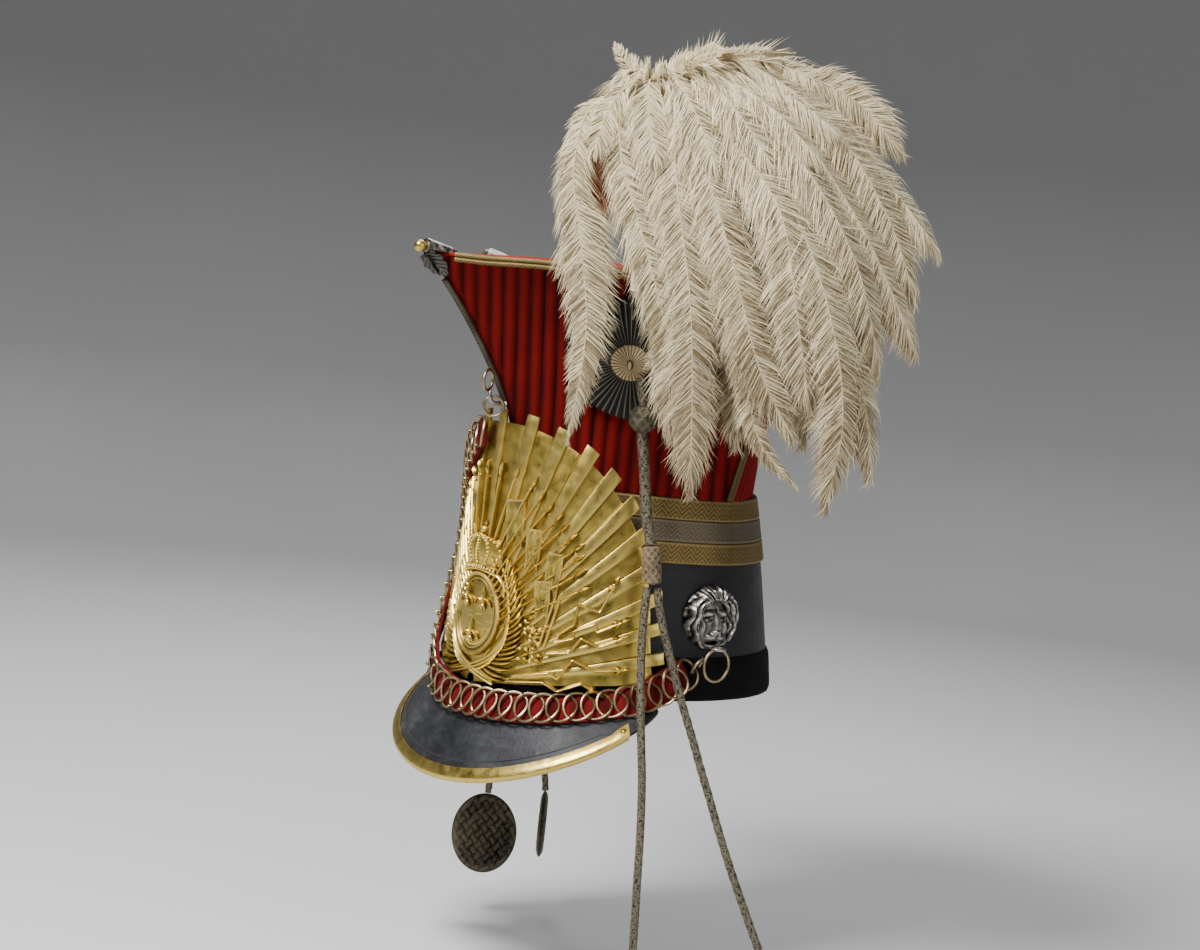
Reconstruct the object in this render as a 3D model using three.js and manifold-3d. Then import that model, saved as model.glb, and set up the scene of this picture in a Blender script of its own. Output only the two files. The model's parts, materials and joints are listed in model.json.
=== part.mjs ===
// Lancer cap: leather skull, ribbed four-cornered pavilion, sunburst plate, chin chain, cap lines and plume.
// Millimetres, +Z up, the front is -Y and the wearer's left is +X. The origin is the centre of the rim.
import * as THREE from "three";
import { mergeVertices } from "three/addons/utils/BufferGeometryUtils.js";
import Module from "manifold-3d";

const wasm = await Module();
wasm.setup();

// Driving dimensions
const GAP = 0.3;
const RIM_FRONT = 101.2;
const RIM_SIDE = 86.2;
const WAIST_FRONT = 82.5;
const WAIST_SIDE = 79.5;
const RIM_POWER = 2;
const WAIST_POWER = 1.6;
const LEATHER = 2.4;
const SKULL_SIDES = 28;

const BAND_HEIGHT = 25.5;
const BAND_THICK = 1.8;
const LACE_LOW = 80;
const LACE_ROW = 12.8;
const LACE_THICK = 1.3;
const LACE_SEAT = 0.6;

const WAIST_Z = 118.5;
const TOP_Z = 244.5;
const WAIST_CORNER = 88.5;
const TOP_CORNER = 168;
const FLARE_POWER = 1.58;
const WAIST_BULGE = 11;
const RIB_PITCH = 8;
const RIB_DEPTH = 1.3;
const PADDED_WALL = 4;
const TOP_THICK = 2;
const TOP_CROWN = 4;

const PLATE_THICK = 1.2;
const PLATE_LOW = { front: 107.8, side: 94, power: 2 };
const PLATE_HIGH = { front: 102.2, side: 78.5, power: 1.8 };
const PLATE_TOP = 158;
const PLATE_ARC = 100;
const RAY_CENTRE_Z = -2;
const FAN_HALF = 84;
const RAY_STEP = 7.5;
const RAY_RISE = 1.5;

const VISOR_WIDTH = 64;
const VISOR_SPAN = 71;
const VISOR_REACH = 0.96;
const VISOR_TAPER = 0.69;
const VISOR_SLOPE_FRONT = 64;
const VISOR_SLOPE_SIDE = 22;
const VISOR_ROOT_Z = 1;
const VISOR_CLEAR = 0.6;
const VISOR_THICK = 2.6;
const TRIM_CLEAR = 0.6;
const TRIM_WIDTH = 7;
const TRIM_THICK = 0.9;

const STRAP_WIDTH = 15;
const STRAP_THICK = 1.5;
const CHAIN_WIDTH = 19.5;
const CHAIN_THICK = 4.2;
const CHAIN_CLEAR = 0.8;

const BOSS_Z = 49.5;
const BOSS_HALF_WIDTH = 20;
const BOSS_HALF_HEIGHT = 19.5;
const BAIL_Z = 32;
const BAIL_OUT = 9;
const BAIL_RADIUS = 4;
const RING_RADIUS = 9.6;
const RING_WIRE = 0.9;

const COCKADE_Z = 197;
const COCKADE_RADIUS = 39;
const COCKADE_TILT = 24;
const COCKADE_PLEATS = 20;

const CORD_MAIN = 6.4;
const CORD_BRANCH = 4.8;
const CORD_FLOUNDER = 4.4;
const CORD_PITCH = 2.9;

// Colours with roughness and metalness
const FINISH = {
  leather: [0x1c1d20, 0.35, 0],
  velvet: [0x0b0b0c, 0.95, 0],
  redCloth: [0x7a0a08, 0.9, 0],
  gold: [0x8a7038, 0.6, 0.4],
  silverLace: [0x8d8374, 0.6, 0.4],
  brass: [0xc8a546, 0.3, 1],
  silver: [0x8f8b84, 0.35, 1],
  steel: [0x8a7a58, 0.35, 1],
  blackRibbon: [0x26272a, 0.8, 0],
  creamRibbon: [0xc9b58c, 0.8, 0],
  cord: [0x6e6654, 0.65, 0.3],
  feather: [0xe4dac6, 0.95, 0],
};

const cap = new THREE.Group();
const vec = (x, y, z) => new THREE.Vector3(x, y, z);
const radians = THREE.MathUtils.degToRad;
const lerp = THREE.MathUtils.lerp;
const signedPower = (value, power) => Math.sign(value) * Math.abs(value) ** power;
const DOWN = vec(0, 0, -1);

// Evenly spaced values, both ends included
function steps(from, to, count) {
  return Array.from({ length: count + 1 }, (_, i) => lerp(from, to, i / count));
}

// Adds one named sub-part
function piece(name, geometry, finish) {
  const [color, roughness, metalness] = FINISH[finish];
  const mesh = new THREE.Mesh(geometry, new THREE.MeshStandardMaterial({ color, roughness, metalness }));
  mesh.name = name;
  cap.add(mesh);
  return mesh;
}

// Closed body from points and triangles: equal points merged, empty triangles dropped, faces outward
function body(points, faces) {
  const raw = new THREE.BufferGeometry();
  raw.setAttribute("position", new THREE.Float32BufferAttribute(points.flatMap((p) => [p.x, p.y, p.z]), 3));
  raw.setIndex(faces);
  const merged = mergeVertices(raw, 1e-3);
  const index = merged.index.array;
  const spot = (i) => new THREE.Vector3().fromBufferAttribute(merged.attributes.position, i);
  const kept = [];
  let volume = 0;
  for (let i = 0; i < index.length; i += 3) {
    const [a, b, c] = [index[i], index[i + 1], index[i + 2]];
    if (a === b || b === c || c === a) continue;
    kept.push(a, b, c);
    volume += spot(a).dot(spot(b).cross(spot(c)));
  }
  if (volume < 0) kept.reverse();
  merged.setIndex(kept);
  return merged;
}

// Skin through rings of equal count; a cyclic loft joins the last ring to the first, others get end caps
function loft(rings, cyclic = false) {
  const count = rings[0].length;
  const points = rings.flat();
  const faces = [];
  const spans = cyclic ? rings.length : rings.length - 1;
  for (let r = 0; r < spans; r++) {
    const next = ((r + 1) % rings.length) * count;
    for (let i = 0; i < count; i++) {
      const j = (i + 1) % count;
      faces.push(r * count + i, r * count + j, next + j, r * count + i, next + j, next + i);
    }
  }
  if (!cyclic) {
    for (const [first, flip] of [[0, true], [(rings.length - 1) * count, false]]) {
      const middle = vec(0, 0, 0);
      for (let i = 0; i < count; i++) middle.addScaledVector(points[first + i], 1 / count);
      points.push(middle);
      for (let i = 0; i < count; i++) {
        const edge = [first + i, first + ((i + 1) % count)];
        faces.push(...(flip ? edge.reverse() : edge), points.length - 1);
      }
    }
  }
  return body(points, faces);
}

// Ready-made geometry with shared points merged, so that it can be joined and cut
function closed(geometry) {
  const place = geometry.attributes.position;
  const spot = (_, i) => new THREE.Vector3().fromBufferAttribute(place, i);
  const points = Array.from({ length: place.count }, spot);
  return body(points, Array.from(geometry.index?.array ?? points.keys()));
}

function toSolid(geometry) {
  const vertProperties = new Float32Array(geometry.attributes.position.array);
  const triVerts = new Uint32Array(geometry.index.array);
  return new wasm.Manifold(new wasm.Mesh({ numProp: 3, vertProperties, triVerts }));
}

function fromSolid(solid) {
  const mesh = solid.getMesh();
  const geometry = new THREE.BufferGeometry();
  geometry.setAttribute("position", new THREE.Float32BufferAttribute(mesh.vertProperties, 3));
  geometry.setIndex(Array.from(mesh.triVerts));
  return geometry;
}

const fuse = (geometries) => fromSolid(geometries.map(toSolid).reduce((whole, next) => whole.add(next)));
const cutAway = (geometry, tool) => fromSolid(toSolid(geometry).subtract(toSolid(tool)));

// Section of the cap at one height, as a ring of points that starts at the front
function ovalPoint(angle, z, { front, side, power }, grow = 0) {
  const x = (side + grow) * signedPower(Math.sin(angle), 2 / power);
  const y = -(front + grow) * signedPower(Math.cos(angle), 2 / power);
  return vec(x, y, z);
}

function ovalRing(z, size, grow, count) {
  return Array.from({ length: count }, (_, i) => ovalPoint((2 * Math.PI * i) / count, z, size, grow));
}

function skullSize(z) {
  const share = z / WAIST_Z;
  return {
    front: lerp(RIM_FRONT, WAIST_FRONT, share),
    side: lerp(RIM_SIDE, WAIST_SIDE, share),
    power: lerp(RIM_POWER, WAIST_POWER, share * share),
  };
}

// Leather skull: a cup, open below, with a flat crown
function skull() {
  const outer = [0, 40, 80, WAIST_Z - GAP].map((z) => ovalRing(z, skullSize(z), 0, SKULL_SIDES));
  const inner = [WAIST_Z - GAP - LEATHER, 60, 0].map((z) => ovalRing(z, skullSize(z), -LEATHER, SKULL_SIDES));
  return loft([...inner, ...outer]);
}

// Flat band laid round the skull between two heights
function bandRound(low, high, near, thick) {
  const corner = (z, grow) => ovalRing(z, skullSize(z), grow, SKULL_SIDES);
  const far = near + thick;
  return loft([corner(low, near), corner(low, far), corner(high, far), corner(high, near)], true);
}

// Pavilion: its flare is sampled at a few levels, with straight stretches between them
const FLARE_LEVELS = [0, 0.36, 0.7, 1];
const flareTable = FLARE_LEVELS.map((share) => ({
  corner: lerp(WAIST_CORNER, TOP_CORNER, share ** FLARE_POWER),
  bulge: WAIST_BULGE * (1 - share) ** 2,
}));

function flareAt(z) {
  const share = (z - WAIST_Z) / (TOP_Z - WAIST_Z);
  const high = Math.max(FLARE_LEVELS.findIndex((level) => level >= share), 1);
  const upper = share > 1 ? FLARE_LEVELS.length - 1 : high;
  const part = (share - FLARE_LEVELS[upper - 1]) / (FLARE_LEVELS[upper] - FLARE_LEVELS[upper - 1]);
  return {
    corner: lerp(flareTable[upper - 1].corner, flareTable[upper].corner, part),
    bulge: lerp(flareTable[upper - 1].bulge, flareTable[upper].bulge, part),
  };
}

const cornerAt = (z) => flareAt(z).corner;

// One point of a face of the pavilion
function facePoint(face, along, z, grow = 0) {
  const half = cornerAt(z) / Math.SQRT2;
  const limit = half + Math.min(grow, 0);
  const across = THREE.MathUtils.clamp(along, -limit, limit);
  const bulge = flareAt(z).bulge * (1 - (across / half) ** 2);
  const turn = radians(45 + 90 * face);
  const normal = vec(Math.sin(turn), -Math.cos(turn), 0);
  const tangent = vec(Math.cos(turn), Math.sin(turn), 0);
  return vec(0, 0, z).addScaledVector(normal, half + bulge + grow).addScaledVector(tangent, across);
}

// Ring round the four faces; columns past the corner of a low ring fall together on that corner
function pavilionRing(z, columns, ribDepth, grow) {
  const half = cornerAt(z) / Math.SQRT2;
  const ring = [];
  for (let face = 0; face < 4; face++) {
    for (const { along, crest } of columns(half)) {
      const inside = Math.abs(along) < half - GAP;
      const across = inside ? along : Math.sign(along) * half;
      ring.push(facePoint(face, across, z, grow + (inside && crest ? 0 : -ribDepth)));
    }
  }
  return ring;
}

function ribColumns() {
  const reach = Math.ceil(TOP_CORNER / Math.SQRT2 / (RIB_PITCH / 2));
  const list = [];
  for (let i = -reach; i <= reach; i++) list.push({ along: (i * RIB_PITCH) / 2, crest: i % 2 === 0 });
  return list;
}

function pavilion() {
  const ribs = ribColumns();
  const plain = (half) => [-1, -0.4, 0.4].map((share) => ({ along: share * half, crest: true }));
  const levels = FLARE_LEVELS.map((share) => lerp(WAIST_Z, TOP_Z, share));
  const outer = loft(levels.map((z) => pavilionRing(z, () => ribs, RIB_DEPTH, 0)));
  const past = [WAIST_Z - 1, ...levels.slice(1, -1), TOP_Z + 1];
  const hollow = loft(past.map((z) => pavilionRing(z, plain, 0, -PADDED_WALL)));
  return cutAway(outer, hollow);
}

// Square top with a slight crown
function topCloth() {
  const square = (corner, z) => {
    const half = corner / Math.SQRT2;
    const ring = [];
    for (let face = 0; face < 4; face++) {
      const turn = radians(45 + 90 * face);
      for (const share of [-1, -0.5, 0, 0.5]) {
        const x = Math.sin(turn) * half + Math.cos(turn) * share * half;
        const y = -Math.cos(turn) * half + Math.sin(turn) * share * half;
        ring.push(vec(x, y, z));
      }
    }
    return ring;
  };
  const low = TOP_Z + GAP;
  const high = low + TOP_THICK;
  const flat = TOP_CORNER - LEAF_LENGTH * 1.2;
  const crown = square(TOP_CORNER * 0.5, high + TOP_CROWN);
  return loft([square(TOP_CORNER, low), square(TOP_CORNER, high), square(flat, high), crown]);
}

// Double braid: two cords side by side as one section, swept along points
const BRAID_CORD = 1.35;
function braid(points, sideways, outward) {
  const profile = [[-2, 0], [-1, 1], [0, 0.55], [1, 1], [2, 0], [1, -1], [0, -0.8], [-1, -1]];
  const rings = points.map((point, i) => profile.map(([across, out]) => point.clone()
    .addScaledVector(sideways(i), across * BRAID_CORD).addScaledVector(outward(i), out * BRAID_CORD)));
  return loft(rings);
}

const CORNERS = ["front", "left", "back", "right"];
const CORNER_CUT = 15;
const BRAID_SEAT = GAP + BRAID_CORD;
const EDGE_SEAT = BRAID_SEAT + 0.6 - RIB_DEPTH * Math.SQRT2;

function topBraid(face) {
  const half = TOP_CORNER / Math.SQRT2;
  const turn = radians(45 + 90 * face);
  const normal = vec(Math.sin(turn), -Math.cos(turn), 0);
  const points = [-1, 0, 1].map((side) => {
    const along = side * (half - CORNER_CUT);
    const out = half + BRAID_SEAT;
    const x = normal.x * out + Math.cos(turn) * along;
    const y = normal.y * out + Math.sin(turn) * along;
    return vec(x, y, TOP_Z + GAP);
  });
  return braid(points, () => DOWN, () => normal);
}

// The front one starts above the plate
function edgeBraid(corner) {
  const turn = radians(90 * corner);
  const outward = vec(Math.sin(turn), -Math.cos(turn), 0);
  const tangent = vec(Math.cos(turn), Math.sin(turn), 0);
  const foot = corner === 0 ? [] : [0.01];
  const shares = [...foot, ...FLARE_LEVELS.slice(1, -1), 0.84];
  const points = shares.map((share) => {
    const z = lerp(WAIST_Z, TOP_Z, share);
    return outward.clone().multiplyScalar(cornerAt(z) + EDGE_SEAT).setZ(z);
  });
  return braid(points, () => tangent, () => outward);
}

// Corner cap: one leaf on the top and one down each face, joined by a collar at the point
const LEAF_LENGTH = 19;
const LEAF_ROOT = 4;
const LEAF_WIDTH = 15;
const LEAF_THICK = 1.1;
const COLLAR_RADIUS = 2.2;
const COLLAR_HALF_HEIGHT = 5.2;
const COLLAR_OUT = 2.5;
const COLLAR_RISE = 2.2;
function leaf() {
  const outline = [[-LEAF_ROOT, -0.2], [LEAF_LENGTH * 0.45, -0.5], [LEAF_LENGTH, 0], [LEAF_LENGTH * 0.45, 0.5],
    [-LEAF_ROOT, 0.2]].map(([along, side]) => new THREE.Vector2(along, side * LEAF_WIDTH));
  const depth = { depth: LEAF_THICK, bevelEnabled: false };
  return closed(new THREE.ExtrudeGeometry(new THREE.Shape(outline), depth));
}

// Basis with +X along the leaf, +Z away from the cloth, for the front corner
function leafOnFrontFace(face) {
  const half = (z) => cornerAt(z) / Math.SQRT2;
  const side = face === 0 ? -1 : 1;
  const low = TOP_Z - 14;
  const start = facePoint(face, side * half(TOP_Z - 1), TOP_Z - 1);
  const end = facePoint(face, side * (half(low) - 4), low);
  const brim = facePoint(face, side * (half(TOP_Z - 1) - 20), TOP_Z - 1);
  const along = end.clone().sub(start).normalize();
  const out = along.clone().cross(brim.sub(start)).normalize();
  const turn = radians(45 + 90 * face);
  if (out.dot(vec(Math.sin(turn), -Math.cos(turn), 0)) < 0) out.negate();
  const across = out.clone().cross(along);
  const seat = start.addScaledVector(out, GAP + 0.9);
  return new THREE.Matrix4().makeBasis(along, across, out).setPosition(seat);
}

function cornerCap(corner) {
  const tip = vec(0, -TOP_CORNER, TOP_Z + GAP + TOP_THICK + GAP);
  const topLeaf = leaf().applyMatrix4(new THREE.Matrix4().makeBasis(vec(0, 1, 0), vec(-1, 0, 0), vec(0, 0, 1))
    .setPosition(tip));
  const sides = [0, 3].map((face) => leaf().applyMatrix4(leafOnFrontFace(face)));
  const collar = closed(new THREE.OctahedronGeometry(1));
  collar.scale(COLLAR_RADIUS, COLLAR_RADIUS, COLLAR_HALF_HEIGHT);
  collar.translate(0, -TOP_CORNER - COLLAR_OUT, TOP_Z + COLLAR_RISE);
  const whole = fuse([collar, topLeaf, ...sides]);
  return whole.rotateZ(radians(90 * corner));
}

const KNOB_RADIUS = 3.3;
const KNOB_RISE = 4.4;
function cornerKnob(corner) {
  const profile = [[0, 0], [0.55, 0], [0.55, 0.45], [1, 0.86], [0.8, 1.9], [0, 2.28]]
    .map(([radius, height]) => new THREE.Vector2(radius * KNOB_RADIUS, height * KNOB_RADIUS));
  const knob = closed(new THREE.LatheGeometry(profile, 10));
  knob.rotateX(Math.PI);
  knob.translate(0, -TOP_CORNER - COLLAR_OUT - COLLAR_RADIUS - GAP, TOP_Z + KNOB_RISE);
  return knob.rotateZ(radians(90 * corner));
}

// Plate coordinates: arc is measured round the front from its middle, lift stands off the back of the plate
function onPlate(arc, z, lift) {
  const share = z / PLATE_TOP;
  const size = {
    front: lerp(PLATE_LOW.front, PLATE_HIGH.front, share),
    side: lerp(PLATE_LOW.side, PLATE_HIGH.side, share),
    power: lerp(PLATE_LOW.power, PLATE_HIGH.power, share),
  };
  return ovalPoint(arc / PLATE_ARC, z, size, lift);
}

// Thin body between a front grid and a back grid of points
function slab(front, back) {
  const rows = front.length;
  const columns = front[0].length;
  const points = [...front.flat(), ...back.flat()];
  const under = rows * columns;
  const faces = [];
  const quad = (a, b, c, d) => faces.push(a, b, c, a, c, d);
  for (let r = 0; r < rows - 1; r++) {
    for (let c = 0; c < columns - 1; c++) {
      const [a, b] = [r * columns + c, r * columns + c + 1];
      quad(a, b, b + columns, a + columns);
      quad(under + a + columns, under + b + columns, under + b, under + a);
    }
    for (const c of [0, columns - 1]) {
      const [a, b] = [r * columns + c, (r + 1) * columns + c];
      if (c === 0) quad(a, b, under + b, under + a);
      else quad(b, a, under + a, under + b);
    }
  }
  for (let c = 0; c < columns - 1; c++) {
    const [a, b] = [c, (rows - 1) * columns + c];
    quad(a + 1, a, under + a, under + a + 1);
    quad(b, b + 1, under + b + 1, under + b);
  }
  return body(points, faces);
}

// Sunburst: narrow raised rays with short sunk rays between them; the raised rays from the front to one side
const RAYS = [
  { angle: 0, reach: 161 },
  { angle: 11.2, reach: 163 },
  { angle: 19.5, reach: 163.5 },
  { angle: 26.7, reach: 162 },
  { angle: 33.4, reach: 158.5 },
  { angle: 40.3, reach: 153.5 },
  { angle: 47, reach: 148 },
  { angle: 54.4, reach: 141 },
  { angle: 61.7, reach: 134.5 },
  { angle: 69.1, reach: 128.5 },
  { angle: 77, reach: 125 },
];
const RAY_SHAPE = [
  { place: -1.64, rise: 0, short: true },
  { place: -1.55, rise: 1, short: false },
  { place: 1.55, rise: 1, short: false },
  { place: 1.64, rise: 0, short: true },
];
function rayReach(angle) {
  const next = RAYS.findIndex((ray) => ray.angle > angle);
  const [low, high] = RAYS.slice(next < 0 ? -2 : next - 1).slice(0, 2);
  return lerp(low.reach, high.reach, (angle - low.angle) / (high.angle - low.angle));
}

function sunburst() {
  const middles = [...RAYS.slice(1).reverse().map(({ angle }) => -angle), ...RAYS.map(({ angle }) => angle)];
  const columns = middles.flatMap((angle) => RAY_SHAPE.map((row) => ({ ...row, angle: angle + row.place })));
  columns.unshift({ angle: -FAN_HALF, rise: 0, short: true });
  columns.push({ angle: FAN_HALF, rise: 0, short: true });
  const grid = (back) => [0, 0.42, 0.72, 1].map((share) => columns.map(({ angle, rise, short }) => {
    const length = share * (rayReach(Math.abs(angle)) - (short ? RAY_STEP : 0));
    const arc = length * Math.sin(radians(angle));
    const z = RAY_CENTRE_Z + length * Math.cos(radians(angle));
    return onPlate(arc, z, back ? 0 : PLATE_THICK + Math.max(rise, 0) * RAY_RISE * share);
  }));
  return slab(grid(false), grid(true));
}

// Raised work on the plate
const RELIEF_SEAT = 0.5;
function ridge(path, halfWidth, lift) {
  const rings = path.map(([arc, z], i) => {
    const [a0, z0] = path[Math.max(i - 1, 0)];
    const [a1, z1] = path[Math.min(i + 1, path.length - 1)];
    const length = Math.hypot(a1 - a0, z1 - z0);
    const [da, dz] = [(-(z1 - z0) / length) * halfWidth, ((a1 - a0) / length) * halfWidth];
    return [[1, RELIEF_SEAT], [0, lift], [-1, RELIEF_SEAT]]
      .map(([side, height]) => onPlate(arc + side * da, z + side * dz, height));
  });
  return loft(rings);
}

function dome(outline, lift, shoulder) {
  const mean = (column) => outline.reduce((sum, point) => sum + point[column], 0) / outline.length;
  const [arc, height] = [mean(0), mean(1)];
  const levels = [[1, RELIEF_SEAT], [1, lift * shoulder], [0.55, lift]];
  const level = ([scale, rise]) => outline
    .map(([a, z]) => onPlate(lerp(arc, a, scale), lerp(height, z, scale), rise));
  return loft(levels.map(level));
}

const SHIELD = { z: 38.5, halfWidth: 22.4, halfHeight: 25.3, lift: 6 };
const CROWN_Z = 76;
function shieldOutline(count) {
  return Array.from({ length: count }, (_, i) => {
    const angle = (2 * Math.PI * i) / count;
    return [SHIELD.halfWidth * Math.cos(angle), SHIELD.z + SHIELD.halfHeight * Math.sin(angle)];
  });
}

const CROWN_HALF = [[16, -10], [19.5, -2], [18, 6], [10, 11], [0, 14]];
const WREATH_HALF = [[4, 4], [18, 9], [29, 22], [32, 40], [28, 57]];
const BOLT_TIPS = [[93, 62], [98, 22]];
const BOLT_ROOTS = [[58, 42], [59, 23]];
const BOLT_SWING = 5;
function bolt([a0, z0], [a1, z1]) {
  const length = Math.hypot(a1 - a0, z1 - z0);
  const [na, nz] = [-(z1 - z0) / length, (a1 - a0) / length];
  return [[0, 0], [0.36, 1], [0.5, -1], [0.86, 1], [1, 0]].map(([share, swing]) => [
    lerp(a0, a1, share) + na * swing * BOLT_SWING, lerp(z0, z1, share) + nz * swing * BOLT_SWING]);
}

function plate() {
  const crown = [...CROWN_HALF, ...CROWN_HALF.slice(0, -1).reverse().map(([a, z]) => [-a, z])]
    .map(([a, z]) => [a, z + CROWN_Z]);
  const raised = [dome(shieldOutline(12), SHIELD.lift, 0.6), dome(crown, 5, 0.75)];
  for (const side of [-1, 1]) {
    const flip = ([a, z]) => [a * side, z];
    raised.push(ridge(WREATH_HALF.map(flip), 5, 4));
    BOLT_TIPS.forEach((tip, i) => raised.push(ridge(bolt(BOLT_ROOTS[i], tip).map(flip), 1.7, 3.6)));
  }
  return fuse([sunburst(), ...raised]);
}

// Tube along a curve, with a round section of a few sides
function tube(route, diameter, sides, rows) {
  const curve = new THREE.CatmullRomCurve3(route, false, "centripetal");
  const section = Array.from({ length: sides }, (_, i) => {
    const angle = (2 * Math.PI * i) / sides;
    return new THREE.Vector2(Math.cos(angle), Math.sin(angle)).multiplyScalar(diameter / 2);
  });
  const count = rows ?? Math.round(curve.getLength() / (CORD_PITCH * diameter));
  return closed(new THREE.ExtrudeGeometry(new THREE.Shape(section), {
    steps: count, bevelEnabled: false, extrudePath: curve,
  }));
}

// Hook on the front corner above the plate, and the two loose rings at the end of the chain
const HOOK_ROUTE = [[0, -104.6, 162.4], [0, -112, 162.4], [0, -115.6, 166], [0, -115, 170.4]];
const HOOK_WIRE = 2.2;
const END_RINGS = [
  { name: "chain_end_ring_lower", x: 0, y: -112, z: 160.6, radius: 5.8, turn: 50 },
  { name: "chain_end_ring_upper", x: 5.4, y: -121.7, z: 176, radius: 6, turn: -62 },
];

function wireRing(radius, wire, sides = 12) {
  return closed(new THREE.TorusGeometry(radius, wire, 5, sides));
}

// Peak: a sloping wall from the rim, and the brass edging folded over its free edge
function visorPoint(share, reach, lift) {
  const angle = radians(VISOR_SPAN) * share;
  const front = RIM_FRONT + GAP + BAND_THICK + VISOR_CLEAR;
  const side = RIM_SIDE + GAP + BAND_THICK + VISOR_CLEAR;
  const outward = vec(Math.sin(angle) / side, -Math.cos(angle) / front, 0).normalize();
  const slope = radians(lerp(VISOR_SLOPE_FRONT, VISOR_SLOPE_SIDE, share * share));
  const width = VISOR_WIDTH * (1 - share * share) ** VISOR_TAPER;
  const run = outward.clone().multiplyScalar(Math.cos(slope)).addScaledVector(DOWN, Math.sin(slope));
  const up = outward.clone().multiplyScalar(Math.sin(slope)).addScaledVector(DOWN, -Math.cos(slope));
  return vec(side * Math.sin(angle), -front * Math.cos(angle), VISOR_ROOT_Z)
    .addScaledVector(run, reach < 0 ? width + reach : Math.min(reach, 1) * width)
    .addScaledVector(up, lift)
    .addScaledVector(outward, reach === 0 && lift < 0 ? -lift * Math.sin(slope) : 0);
}

const TRIM_HALF = [0.82, 0.78, 0.73, 0.65, 0.5, 0.34, 0.17];
const TRIM_SHARES = [...TRIM_HALF.map((share) => -share), 0, ...TRIM_HALF.toReversed()];
function visor() {
  const shares = [-VISOR_REACH, ...TRIM_SHARES, VISOR_REACH];
  const row = (reach, lift) => shares.map((share) => visorPoint(share, reach, lift));
  const face = (lift) => [0, -TRIM_WIDTH, 1].map((reach) => row(reach, lift));
  return slab(face(0), face(-VISOR_THICK));
}

const TRIM_FOLD = [
  { reach: -TRIM_WIDTH, above: false, push: 0 },
  { reach: 1, above: false, push: 1 },
  { reach: 1, above: true, push: 1 },
  { reach: -TRIM_WIDTH, above: true, push: 0 },
];
function visorTrim() {
  const skin = (stand) => TRIM_FOLD.map(({ reach, above, push }) => TRIM_SHARES.map((share) => {
    const run = visorPoint(share, 1, 0).sub(visorPoint(share, 0, 0)).normalize();
    const lift = above ? stand : -VISOR_THICK - stand;
    return visorPoint(share, reach, lift).addScaledVector(run, push * stand);
  }));
  return slab(skin(TRIM_CLEAR + TRIM_THICK), skin(TRIM_CLEAR));
}

// Chin chain on its red strap: from the ring of the left boss, over the peak, and up the plate to the hook
const CHAIN_ROUTE = [
  { angle: 81.5, height: 20, out: -4.2, lean: 0 },
  { angle: 76, height: 15, out: 0, lean: 4 },
  { angle: 70, height: 9, out: 3.2, lean: 12 },
  { angle: 63, height: 2, out: 4.2, lean: 30 },
  { angle: 54, height: -3, out: 4.2, lean: 42 },
  { angle: 43, height: -7, out: 4.4, lean: 40 },
  { angle: 32, height: -10, out: 4.6, lean: 34 },
  { angle: 18, height: -12, out: 4.2, lean: 28 },
  { angle: 5, height: -12.4, out: 4.2, lean: 22 },
  { angle: -9, height: -10, out: 5.6, lean: 10 },
  { angle: -22, height: -2, out: 6.6, lean: 0 },
  { angle: -34, height: 12, out: 6.2, lean: 0 },
  { angle: -42, height: 30, out: 5.8, lean: 0 },
  { angle: -48, height: 52, out: 5.4, lean: 0 },
  { angle: -49.5, height: 75, out: 5.2, lean: 0 },
  { angle: -45, height: 98, out: 5, lean: 0 },
  { angle: -34, height: 120, out: 5, lean: 0 },
  { angle: -20, height: 138, out: 5, lean: 0 },
  { angle: -7, height: 150, out: 5, lean: 0 },
];
const CHAIN_STEPS = 26;

// Flat band along the chain's route, standing off the surface by a lift, with a section of a few points
function alongChain(section, lift, shares) {
  const rows = CHAIN_ROUTE.map(({ angle, height, out, lean }) => {
    const foot = onPlate(radians(angle) * PLATE_ARC, height, out);
    const outward = onPlate(radians(angle) * PLATE_ARC, height, out + 1).sub(foot).normalize();
    const tilt = radians(lean);
    const normal = outward.multiplyScalar(Math.cos(tilt)).addScaledVector(DOWN, -Math.sin(tilt));
    return { foot, normal };
  });
  const middle = new THREE.CatmullRomCurve3(rows.map((row) => row.foot), false, "centripetal");
  const rings = shares.map((share) => {
    const place = share * (rows.length - 1);
    const low = Math.min(Math.floor(place), rows.length - 2);
    const normal = rows[low].normal.clone().lerp(rows[low + 1].normal, place - low);
    const tangent = middle.getTangent(share);
    const across = tangent.clone().cross(normal).normalize();
    const up = across.clone().cross(tangent);
    const centre = middle.getPoint(share).addScaledVector(up, lift);
    return section.map(([a, u]) => centre.clone().addScaledVector(across, a).addScaledVector(up, u));
  });
  return loft(rings);
}

const CHAIN_SHARES = steps(0, 1, CHAIN_STEPS);
function chinStrap() {
  const [a, u] = [STRAP_WIDTH / 2, STRAP_THICK / 2];
  return alongChain([[-a, -u], [a, -u], [a, u], [-a, u]], STRAP_THICK / 2, CHAIN_SHARES.slice(1, -1));
}

function chinChain() {
  const [a, u] = [CHAIN_WIDTH / 2, CHAIN_THICK / 2];
  const section = [[-a, 0], [-a * 0.7, u], [a * 0.7, u], [a, 0], [a * 0.7, -u], [-a * 0.7, -u]];
  return alongChain(section, STRAP_THICK + CHAIN_CLEAR + CHAIN_THICK / 2, CHAIN_SHARES);
}

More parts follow.
